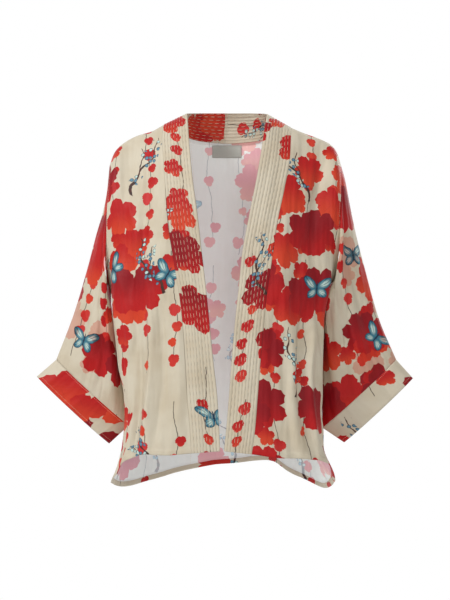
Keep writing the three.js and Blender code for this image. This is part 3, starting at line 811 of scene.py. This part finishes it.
# %% The whole print
def printed(s):
    uv = s.add("ShaderNodeUVMap", {"uv_map": "cloth"}, None)
    flat_u = s.add("ShaderNodeSeparateXYZ", None, {0: uv}, 0) * 1000
    flat_v = s.add("ShaderNodeSeparateXYZ", None, {0: uv}, 1) * 1000
    u = flat_u + (s.noise(flat_u, flat_v, 14, 2.0, seed=1) - 0.5) * 5
    v = flat_v + (s.noise(flat_u, flat_v, 14, 2.0, seed=2) - 0.5) * 5
    shade = s.noise(flat_u, flat_v, 60, 3.0, seed=5)
    ink = s.blend(s.step(shade, 0.35, 0.7), CREAM, colour(201, 188, 164))

    # hanging stems, one in some of the columns
    wide, tall, pitch = 60, 261, 29
    column, part = (u / wide).maths("FLOOR"), (v / tall).maths("FLOOR")
    a, b, c = s.chance(column, part, 11)
    away = u - (column + 0.5) * wide - (a - 0.5) * 10
    grown = s.noise((column + 0.5) * wide, (part + 0.5) * tall, 110, 0.0, seed=9) > 0.4

    def bend(at):
        return (at / 34 + a * 6).maths("SINE") * 5 + (at / 13 + b * 6).maths("SINE") * 1.5

    low = (v / tall - part) * tall
    line = s.step(abs(away - bend(v)), 0.95, 0.45) * grown * s.step(low, 14 + 70 * c, 15 + 70 * c)
    ink = s.blend(line * 0.9, ink, STEM)

    # small leaves beside the stems
    leaf_row = (v / pitch).maths("FLOOR")
    d, e, f = s.chance(column * 7, leaf_row, 12)
    x = away - bend((leaf_row + 0.5) * pitch) - (d - 0.5) * 12
    y = v - (leaf_row + 0.5) * pitch - (e - 0.5) * 3
    radius = (x * x + y * y).maths("SQRT")
    turn = y.maths("ARCTAN2", x) + QUARTER_TURN + (f - 0.5)
    rim = (9 + 4 * f) * (0.68 + 0.32 * abs((turn * 1.5).maths("COSINE")) ** 0.5)
    rim = rim - abs((turn * 10).maths("SINE")) * 0.8
    leaf_low = (leaf_row + 0.5) * pitch - part * tall
    leaf = s.step(rim - radius, -0.3, 0.5) * grown * (e > 0.2) * (leaf_low > 14 + 70 * c)
    ink = s.blend(leaf, ink, s.blend(s.step(d + y / 40, 0.3, 0.9), s.blend(f, VERMILION, ROSE), SCARLET))

    # loose flowers, then the large groups
    layers = (
        # cell, shift, reach, petals, level of the slow noise, seed, top ink, low ink
        (58, (13, 29), 20, 5, 0.54, 21, SCARLET, VERMILION),
        (96, (40, 10), 42, 5, 0.54, 22, SCARLET, VERMILION),
        (104, (-12, 61), 46, 6, 0.55, 23, CRIMSON, SCARLET),
        (88, (71, -33), 39, 5, 0.57, 24, SCARLET, VERMILION),
        (110, (22, 47), 48, 5, 0.575, 25, CRIMSON, SCARLET),
    )
    for size, shift, reach, petals, gate_at, seed, top, base in layers:
        shown, high, vein, random = flowers(s, u, v, size, shift, reach, petals, gate_at, seed)
        tint = s.blend(s.step(high + (random[0] - 0.5) * 0.8, -0.8, 0.5), base, top)
        tint = s.blend(vein * 0.3, tint, CRIMSON)
        ink = s.blend(shown, ink, tint)

    # gnarled twigs, each in its own tall cell
    column, row, x, y, (a, b, c) = cells(s, u, v, (132, 168), (80, 20), (14, 24), 31)
    cosine, sine = (c - 0.5).maths("COSINE"), (c - 0.5).maths("SINE")
    along = y * cosine + x * sine
    bend_at = (along / 19 + a * 6).maths("SINE") * 8 + (along / 6.5 + b * 6).maths("SINE") * 2.6
    off = x * cosine - y * sine - bend_at
    knots = s.noise(u, v, 6, 2.0, seed=4) - 0.5
    half = 1.9 - along / 48 + knots * 2.5
    main = s.step(half - abs(off), -0.3, 0.4) * s.step(abs(along), 60, 58)
    shoot = off - abs(along + 14) * 0.62 * ((a > 0.5) * 2 - 1) + (along / 5).maths("SINE") * 1.6
    reach_of = s.step(along, -15, -13) * s.step(along, 30, 28)
    side_twig = s.step(1.15 + knots * 2 - abs(shoot), -0.3, 0.4) * reach_of
    has_twig = s.chance(column, row, 32)[0] > 0.42
    twig = main.maths("MAXIMUM", side_twig) * has_twig
    ink = s.blend(twig, ink, s.blend(s.step(knots, -0.1, 0.15), BARK, STEM))

    # berries and small blossoms close to the twigs
    column, row, x, y, (a, b, c) = cells(s, u, v, (7.6, 7.6), (0, 0), (1.9, 1.9), 33)
    radius = (x * x + y * y).maths("SQRT")
    close = abs(off).maths("MINIMUM", abs(shoot) + (1 - reach_of) * 99)
    filled = s.step(close, 10, 9) * s.step(abs(along - 8), 46, 44) * has_twig * (c > 0.52)
    ink = s.blend(s.step(radius, 3.7, 3.2) * filled, ink, NAVY)
    ink = s.blend(s.step(radius, 2.9, 2.4) * filled, ink, s.blend(a > 0.6, BERRY, PALE_BLUE))

    # butterflies, in about a third of their cells
    column, row, x, y, (a, b, c) = cells(s, u, v, (128, 150), (35, 60), (44, 60), 41)
    tilt = (c - 0.5) * 2.2
    cosine, sine = tilt.maths("COSINE"), tilt.maths("SINE")
    side = abs(x * cosine + y * sine)
    high = y * cosine - x * sine

    def oval(centre, reach, lean):
        c_x, c_y = side - centre[0], high - centre[1]
        p = c_x * math.cos(lean) + c_y * math.sin(lean)
        q = c_y * math.cos(lean) - c_x * math.sin(lean)
        return ((p / reach[0]) ** 2 + (q / reach[1]) ** 2).maths("SQRT")

    wing = oval((15, 8), (17, 8.5), 0.5).maths("MINIMUM", oval((10, -8), (12, 8), -0.75))
    middle = oval((0, 0), (1.5, 13), 0)
    here = s.chance(column, row, 42)[0] > 0.66
    ribs = s.step(abs((side.maths("ARCTAN2", high + 2) * 13).maths("SINE")), 0.25, 0.6)
    wash = s.blend(s.step(wing, 0.25, 0.75), PALE_BLUE, TEAL)
    wash = s.blend((1 - ribs) * 0.65, wash, NAVY)
    ink = s.blend(s.step(wing, 1.04, 0.98) * here, ink, NAVY)
    ink = s.blend(s.step(wing, 0.92, 0.86) * here, ink, wash)
    ink = s.blend(s.step(middle, 1.05, 0.9) * here, ink, NAVY)
    return ink, flat_u, flat_v


# %% [markdown]
# ## Cloth finishes
# Thin silk-like cloth is smooth with a soft shine and a very fine weave. The wrong side shows
# the same print paler and cooler, because the ink sits mostly on the face. Thin cloth also lets
# light through. A weak glow of the wrong side stands in for that, and the sleeves show pale
# flowers where the photo has the print of their far side.


# %% Cloth materials
FADE_GAMMA, FADE_SHARE, GLOW = 0.47, 0.36, 0.15  # the wrong side
WEAVE, SLUB, CRUSH, DRAPE = 0.12, 0.5, 8, 60  # how high each kind of unevenness stands
PUCKER, VALLEY = 2.5, 1.5
printed_once = bpy.data.materials.new("print")
printed_once.use_nodes = True
for value, name in zip(printed(Shader(printed_once.node_tree)), ("ink", "u", "v")):
    value.socket.node.name = name


def cloth_material(name, wrong_side=False, stitched=False, sheer=False):
    material = printed_once.copy()
    material.name = name
    s = Shader(material.node_tree)
    surface = material.node_tree.nodes["Principled BSDF"]
    ink = Value(s, material.node_tree.nodes["ink"].outputs[2])
    u, v = (Value(s, material.node_tree.nodes[part].outputs[0]) for part in ("u", "v"))
    if wrong_side:
        faded = s.add("ShaderNodeGamma", None, {"Color": ink, "Gamma": FADE_GAMMA})
        ink = s.blend(FADE_SHARE, faded, colour(216, 238, 250))
    if sheer:
        # the far side's print, seen through the cloth and so turned over
        far_u, far_v = 640 - u, v + 35
        large = flowers(s, far_u, far_v, 96, (40, 10), 42, 5, 0.54, 22)[0]
        behind = large.maths("MAXIMUM", flowers(s, far_u, far_v, 58, (13, 29), 22, 5, 0.5, 21)[0])
        settings = {"data_type": "RGBA", "blend_type": "MULTIPLY"}
        ink = s.add("ShaderNodeMix", settings, {0: behind * 0.75, 6: ink, 7: colour(250, 186, 180)}, 2)
    weave = (u * 9).maths("SINE") * (v * 9).maths("SINE")
    slub = s.noise(u * 0.25, v * 3, 4, 2.0, seed=6)
    crush = s.noise(u, v, 26, 3.0, seed=7)
    drape = s.noise(u * 1.5, v * 0.2, 46, 2.0, seed=10)
    height = weave * WEAVE + slub * SLUB + crush * CRUSH + drape * DRAPE
    if stitched:
        rows = s.add("ShaderNodeUVMap", {"uv_map": "rows"}, None)
        across = s.add("ShaderNodeSeparateXYZ", None, {0: rows}, 0)
        # painted shade: the colour is darkened along the valleys between the rows of stitches
        valley = s.step(abs(across - (across + 0.5).maths("FLOOR")), 0.2, 0.0)
        ink = s.blend(valley * 0.3, ink, colour(96, 66, 52))
        height = height + s.noise(u * 0.35, v, 3.4, 2.0, seed=8) * PUCKER - valley * VALLEY
    bump = s.add("ShaderNodeBump", None, {"Strength": 0.3, "Distance": 0.0008, "Height": height})
    s.tree.links.new(ink.socket, surface.inputs["Base Color"])
    s.tree.links.new(bump.socket, surface.inputs["Normal"])
    if wrong_side:
        s.tree.links.new(ink.socket, surface.inputs["Emission Color"])
        surface.inputs["Emission Strength"].default_value = GLOW
    rough = 0.44 + slub * 0.14
    s.tree.links.new(rough.socket, surface.inputs["Roughness"])
    surface.inputs["Sheen Weight"].default_value = 0.04
    surface.inputs["Specular IOR Level"].default_value = 0.24
    print(name, len(material.node_tree.nodes), "nodes")
    return material


def plain(name, tint, rough=0.6):
    material = bpy.data.materials.new(name)
    material.use_nodes = True
    surface = material.node_tree.nodes["Principled BSDF"]
    surface.inputs["Base Color"].default_value = tint
    surface.inputs["Roughness"].default_value = rough
    return material


outer_cloth = cloth_material("outer cloth")
sleeve_cloth = cloth_material("sleeve cloth", sheer=True)
inner_cloth = cloth_material("inner cloth", wrong_side=True)
band_cloth = cloth_material("band cloth", stitched=True)
bpy.data.materials.remove(printed_once)
label_cloth = plain("label cloth", colour(176, 179, 171), 0.7)
thread = plain("thread", colour(226, 208, 180), 0.55)

# %% [markdown]
# ## Laying out the print
# Every piece is cut from a different part of the printed cloth, so the motifs break at the
# seams. A short table says where on the cloth each piece was cut, in millimetres.

# %% Where each piece is cut from the cloth
PRINT_PLACE = {
    "front_right": (0, 0),
    "front_left": (0, 0),
    "back": (900, 0),
    "sleeve_right": (1500, 40),
    "sleeve_left": (2300, 0),
    "cuff_right": (1300, 200),
    "cuff_left": (2360, 350),
    "gusset_right": (700, 300),
    "gusset_left": (500, 300),
    "neck_band": (3000, 100),
}


def print_place(name, u, v):
    across, up = PRINT_PLACE[name]
    return np.stack([u + across, v + up], axis=-1) / 1000


# %% [markdown]
# ## Fronts
# Each front is one panel that hangs from the shoulder and folds back at its side edge. A cloth
# simulation could drape it, but then no fold would sit where the photo shows one. So the panel
# follows the worn shape, and each main fold is one row of a table: a soft line pushed out or in.

# %% Front panels
FRONT_CREASES = {
    # from u, z, to u, z, width, height
    "left": [
        [150, -60, 190, -330, 9, -4.5],
        [120, -110, 150, -420, 12, 4],
        [190, -140, 165, -300, 8, 4.5],
        [128, -300, 140, -600, 9, -6],
        [150, -240, 166, -600, 9, 6],
        [176, -340, 186, -610, 10, -7],
        [98, -330, 104, -600, 10, 3.5],
        [205, -270, 185, -420, 7, 4],
    ],
    "right": [
        [185, -50, 165, -300, 9, -5.5],
        [100, -150, 125, -420, 12, 4],
        [150, -200, 120, -360, 9, -4],
        [146, -320, 152, -600, 9, -9],
        [166, -360, 172, -610, 9, 8],
        [124, -400, 130, -600, 9, 4.5],
        [92, -300, 96, -600, 10, -3.5],
        [175, -255, 188, -420, 7, -5],
    ],
}
for side, name in (("left", "front_right"), ("right", "front_left")):
    shares = dense_ends(48)
    flip = side == "right"
    points = grid_of(lambda a, b: front_point(side, a, b), shares, BODY_ROWS)
    normals = normals_of(points, False, flip)
    u = np.abs(points[:, :1, 0]) + lengths_along(points, 1)
    points = pressed(points, normals, u, points[..., 2], FRONT_CREASES[side])
    v = points[:1, :, 2] - lengths_down(points, normals)
    u = np.abs(points[:, :1, 0]) + lengths_across(points, v)
    uv = print_place(name, SIGN[side] * u, v)
    thick = hem_thick(BODY_ROWS, len(shares))
    piece = cloth_mesh(name, points, uv, flip, thick=thick, turned_from=HEM_START)
    dress(piece, outer_cloth, inner_cloth, outer_cloth, outer_cloth)
    finish_piece(piece, [name], points)

# %% [markdown]
# ## Back
# The back is one wide panel that reaches round to both side seams and hangs lower than the
# fronts. Its outside isn't in the photo, so its folds only repeat the kind that the fronts have,
# unevenly and a little shallower.

# %% Back panel
BACK_CREASES = [
    # from u, z, to u, z, width, height
    [-150, -90, -118, -430, 11, -4.5],
    [-100, -50, -112, -380, 9, 4],
    [-44, -130, -62, -560, 13, -3.5],
    [26, -70, 18, -480, 12, 3.5],
    [84, -50, 112, -370, 10, -4.5],
    [142, -100, 122, -430, 11, 4.5],
    [-176, -320, -158, -640, 10, 5.5],
    [170, -330, 154, -640, 10, -5.5],
    [-96, -390, -88, -650, 10, -5.5],
    [106, -400, 96, -650, 9, 5],
    [58, -370, 66, -650, 10, -4.5],
    [-26, -430, -20, -650, 9, 4],
]
shares = [BACK_COLUMNS * share for share in dense_ends(130)]
points = grid_of(back_point, shares, BODY_ROWS)
normals = normals_of(points, False, False)
middle = len(shares) // 2
u = lengths_along(points, 1)
u = u - u[:, middle : middle + 1]
points = pressed(points, normals, u, points[..., 2], BACK_CREASES)
v = points[:1, :, 2] - lengths_down(points, normals)
u = lengths_across(points, v)
u = u - u[:, middle : middle + 1]
uv = print_place("back", u, v)
thick = hem_thick(BODY_ROWS, len(shares))
piece = cloth_mesh("back", points, uv, False, thick=thick, turned_from=HEM_START)
dress(piece, outer_cloth, inner_cloth, outer_cloth, outer_cloth)
finish_piece(piece, ["back"], points)

# %% [markdown]
# ## Sleeves and cuffs
# A sleeve is a flat panel sewn into a tube, and its cuff a straight band turned up at the end.
# Both are rings of points, joined to themselves under the arm. Their folds run down the arm, as
# cloth does that hangs from it. The print is laid along the top of the arm, so it stays straight.

# %% Sleeves and cuffs
AROUND = 120
SLEEVE_LENGTH = 300
SLEEVE_CREASES = [
    # from degrees round the sleeve, mm down it, to degrees, mm, width, height
    [50, 8, 40, 285, 9, -5],
    [78, 20, 68, 290, 9, 5],
    [112, 12, 92, 200, 8, -4.5],
    [128, 60, 118, 285, 8, 4],
    [70, 150, 104, 280, 7, -4],
    [248, 10, 262, 285, 9, 4],
    [285, 20, 300, 280, 9, -5],
    [232, 60, 240, 290, 8, -3],
    [316, 90, 322, 285, 8, 3],
]
for side, name in (("left", "right"), ("right", "left")):
    flip = side == "left"
    turns = [turn % 360 for turn in evenly(180, 540, AROUND)]
    for kind, tube, rows in (("sleeve", SLEEVE, 110), ("cuff", CUFF, 16)):
        is_sleeve = kind == "sleeve"
        along = evenly(0, 1, rows)
        points = grid_of(lambda a, b: tube_point(side, tube, a, b, is_sleeve), turns, along)
        if is_sleeve:
            around, down = np.meshgrid(turns, np.array(along) * SLEEVE_LENGTH)
            points = pressed(points, normals_of(points, True, flip), around, down, SLEEVE_CREASES)
        start, end = SLEEVE[side](0), SLEEVE[side](1)
        out, fall = end["top_x"] - start["top_x"], end["top_z"] - start["top_z"]
        v = -(points @ unit(np.array([SIGN[side] * out, 0, fall])))
        u = lengths_across(points, v)
        u = SIGN[side] * (u - u[:, AROUND // 2 : AROUND // 2 + 1])
        uv = print_place(f"{kind}_{name}", u, v)
        piece = cloth_mesh(f"{kind}_{name}", points, uv, flip, closed=True)
        if is_sleeve:
            dress(piece, sleeve_cloth, inner_cloth)
        else:
            dress(piece, outer_cloth, outer_cloth)
        finish_piece(piece, [f"{kind}_{name}"], points)

# %% [markdown]
# ## Gussets
# A gusset is the small three-sided patch under the arm that gives it room to lift. It is a grid
# whose rows get narrower toward its point.

# %% Gussets
for side, name in (("left", "gusset_right"), ("right", "gusset_left")):
    rows = evenly(ARMHOLE_ROWS, SIDE_START - 0.1, 16)
    shares = evenly(0, 1, 24)
    points = grid_of(lambda a, b: gusset_point(side, a, b), shares, rows)
    uv = print_place(name, lengths_along(points, 1), -lengths_along(points, 0))
    piece = cloth_mesh(name, points, uv, side == "right")
    dress(piece, outer_cloth, inner_cloth)
    straight = float(np.linalg.norm(points[0, -1] - points[0, 0])) / 1000
    deep = 1.9 * sheet_area(points) / straight
    finish_piece(piece, [name], points, (straight, deep))

# %% [markdown]
# ## Long band
# The band is one long doubled strip, up one front, round the neck and down the other. Many rows
# of running stitch press valleys into it. The rows are in the mesh, as a wave across the strip,
# and the shade in the valleys and the puckers are in its material, which reads a second UV map.

# %% Long band
CHANNELS = 9
BAND_COLUMNS = 54
PADDING = 0.8  # how far the band stands out between two rows of stitches
stations = [("left", LAST_ROW - row) for row in evenly(0, LAST_ROW, 150)]
stations += [("neck", column) for column in evenly(0, NECK_COLUMNS, 40)[1:-1]]
stations += [("right", row) for row in evenly(0, LAST_ROW, 150)]


def band_point(share, station):
    kind, at = station
    return neck_band_point(at, share) if kind == "neck" else front_band_point(kind, share, at)


shares = evenly(0, 1, BAND_COLUMNS)
points = grid_of(band_point, shares, stations)
normals = normals_of(points, False, False)
u = lengths_along(points, 1)
v = lengths_along(points, 0)
padding = PADDING * np.abs(np.sin(np.pi * CHANNELS * np.array(shares))) ** 0.8
padded = points + normals * padding[None, :, None]
half = len(stations) // 2
facing = np.where(np.arange(len(stations)) < half, -1.0, 1.0)[:, None]
up = -np.abs(v - v[half : half + 1])
uv = print_place("neck_band", facing * u, up + 60 * (facing > 0))
rows_map = np.stack([np.broadcast_to(np.array(shares) * CHANNELS, u.shape), v / 100], axis=-1)
piece = cloth_mesh("neck_band", padded, uv, False, rows_map=rows_map)
dress(piece, band_cloth, band_cloth)
finish_piece(piece, ["neck_band"], padded)
band_points, band_normals = points, normals

# %% [markdown]
# ## Label
# A small woven tab hangs from the seam inside the back of the neck. It is left blank here. It is
# so small that a flat grid laid on the cloth behind it is enough.

# %% Label
LABEL_X = -29.2, 25.3
LABEL_Z = -28, -52
LABEL_GAP = 2.0  # how far it stands off the cloth behind it
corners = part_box("label")
print("label box", [[round(c, 4) for c in corner] for corner in corners])


def label_point(x, z):
    low, high = 12.0, 22.0
    for _ in range(30):
        middle = (low + high) / 2
        if back_point(middle, 4)[0] < x:
            low = middle
        else:
            high = middle
    top, bottom = 0.0, 12.0
    for _ in range(30):
        row = (top + bottom) / 2
        if back_point(middle, row)[2] > z:
            top = row
        else:
            bottom = row
    return x, back_point(middle, row)[1] - LABEL_GAP, z


points = grid_of(label_point, evenly(*LABEL_X, 24), evenly(*LABEL_Z, 12))
uv = np.stack([points[..., 0], points[..., 2]], axis=-1) / 1000
piece = cloth_mesh("label", points, uv, True)
dress(piece, label_cloth, label_cloth)
finish_piece(piece, ["label"], points)

# %% [markdown]
# ## Stitches
# Ten rows of running stitch hold the two layers of the band together. A stitch is a short bit of
# thread that tapers where it dips into the cloth, so each is a small stretched ball laid along
# its row.


# %% Rows of stitches
CHUNK = 40  # stitches made in one go, because adding to a large mesh is slow


def stitch_places(rows, length, gap, wide, high):
    """Each row is points and normals along it; a stitch lies every length and gap."""
    places = []
    for points, normals in rows:
        run = np.concatenate([[0], np.cumsum(np.linalg.norm(np.diff(points, axis=0), axis=1))])
        starts = np.arange(0.5 * gap + 0.4 * length * (len(places) % 2), run[-1] - length, length + gap)
        first, last, out = (
            np.stack([np.interp(at, run, values[:, k]) for k in range(3)], axis=-1)
            for at, values in ((starts, points), (starts + length, points), (starts + length / 2, normals))
        )
        along, out = unit(last - first), unit(out)
        side = unit(np.cross(out, along))
        for columns in zip(side * wide, out * high, along * length, (first + last) / 2):
            place = np.eye(4)
            place[:3] = np.stack(columns, axis=-1) / 1000
            places.append(Matrix(place))
    return places


def stitches(name, rows, length, gap, wide, high):
    places = stitch_places(rows, length, gap, wide, high)
    whole = bmesh.new()
    for start in range(0, len(places), CHUNK):
        bm = bmesh.new()
        for place in places[start : start + CHUNK]:
            bmesh.ops.create_uvsphere(bm, u_segments=6, v_segments=4, radius=0.5, matrix=place)
        some = bpy.data.meshes.new(name)
        bm.to_mesh(some)
        bm.free()
        whole.from_mesh(some, face_normals=False)
        bpy.data.meshes.remove(some)
    mesh = bpy.data.meshes.new(name)
    whole.to_mesh(mesh)
    whole.free()
    mesh.shade_smooth()
    piece = bpy.data.objects.new(name, mesh)
    bpy.context.collection.objects.link(piece)
    dress(piece, thread)
    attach(piece, "root")
    print(name, len(places), "stitches")


for name, lift in (("band_stitches_outside", 0.55), ("band_stitches_inside", -0.5)):
    rows = []
    for k in range(CHANNELS + 1):
        column = min(max(round(k / CHANNELS * BAND_COLUMNS), 1), BAND_COLUMNS - 1)
        rows.append((band_points[:, column] + band_normals[:, column] * lift, band_normals[:, column]))
    stitches(name, rows, length=9.0, gap=4.0, wide=0.65, high=0.55)

# %% [markdown]
# ## Fine stitches
# Hems, cuffs and armholes are held by short machine stitches, and two lines run down the back.
# They follow rows of points that the pieces already have, so they lie on the cloth, folds and
# all.

# %% Fine stitches at hems, cuffs, armholes and the back
FINE_LIFT = 0.42
BACK_LINES = -71, 136


def row_at(name, line, sign, across=False):
    points = grids[name]
    normals = normals_of(points, False, False) * sign
    picked = (slice(None), line) if across else line
    return points[picked] + normals[picked] * FINE_LIFT, normals[picked]


fine = []
for name, sign in (("front_right", 1), ("front_left", -1), ("back", 1)):
    for face in (1, -1):
        fine.append(row_at(name, HEM_START + 1, sign * face))
for name, sign in (("cuff_right", -1), ("cuff_left", 1)):
    fine.append(row_at(name, 1, sign))
    fine.append(row_at(name, 14, sign))
for name, sign in (("front_right", 1), ("front_left", -1)):
    points, normals = row_at(name, -5, sign, across=True)
    last = BODY_ROWS.index(SIDE_START)
    fine.append((points[: last + 1], normals[: last + 1]))
for x in BACK_LINES:
    column = int(np.argmin(np.abs(grids["back"][-20, :, 0] - x)))
    for face in (1, -1):
        fine.append(row_at("back", column, face, across=True))
stitches("fine_stitches", fine, length=2.3, gap=1.1, wide=0.42, high=0.36)

# %% [markdown]
# ## Light and floor
# The photo has soft, nearly even light and a white ground. A world that is brighter toward the
# back gives the white ground without washing the cloth out, one lamp from the upper left shapes
# the folds, a second fills the front, and a third lights the back for views from behind.

# %% Light and floor
FLOOR_HEIGHT, FLOOR_RADIUS = -1.36, 2.1
world = bpy.data.worlds.new("studio")
bpy.context.scene.world = world
world.use_nodes = True
s = Shader(world.node_tree)
direction = s.add("ShaderNodeTexCoord", None, None, "Generated")
toward_back = s.add("ShaderNodeSeparateXYZ", None, {0: direction}, 1)
brightness = s.step(toward_back, -0.1, 0.93) * 0.56 + 0.44
s.tree.links.new(brightness.socket, world.node_tree.nodes["Background"].inputs["Strength"])
world.node_tree.nodes["Background"].inputs["Color"].default_value = (1, 1, 1, 1)
bpy.context.scene.view_settings.view_transform = "Standard"


def soft_light(name, place, toward, size, power):
    data = bpy.data.lights.new(name, "AREA")
    data.size = size
    data.energy = power
    lamp = bpy.data.objects.new(name, data)
    lamp.location = place
    direction = np.array(toward, float) - np.array(place, float)
    flat = math.hypot(direction[0], direction[1])
    lamp.rotation_euler = (
        math.atan2(flat, -direction[2]),
        0,
        math.atan2(direction[1], direction[0]) - math.pi / 2,
    )
    bpy.context.collection.objects.link(lamp)


soft_light("key", (-2.1, -1.7, 1.6), (0, 0, -0.2), 0.8, 52)
soft_light("fill", (0.3, -2.6, 0.9), (0, 0, -0.2), 1.0, 18)
soft_light("behind", (2.0, 2.3, 1.1), (0, 0, -0.35), 0.9, 30)
floor_mesh = bpy.data.meshes.new("floor")
bm = bmesh.new()
bmesh.ops.create_circle(bm, cap_ends=True, segments=96, radius=FLOOR_RADIUS)
for vert in bm.verts:
    vert.co.z = FLOOR_HEIGHT
bm.to_mesh(floor_mesh)
bm.free()
floor = bpy.data.objects.new("floor", floor_mesh)
bpy.context.collection.objects.link(floor)
floor_mesh.materials.append(plain("floor", (0.86, 0.86, 0.85, 1.0)))
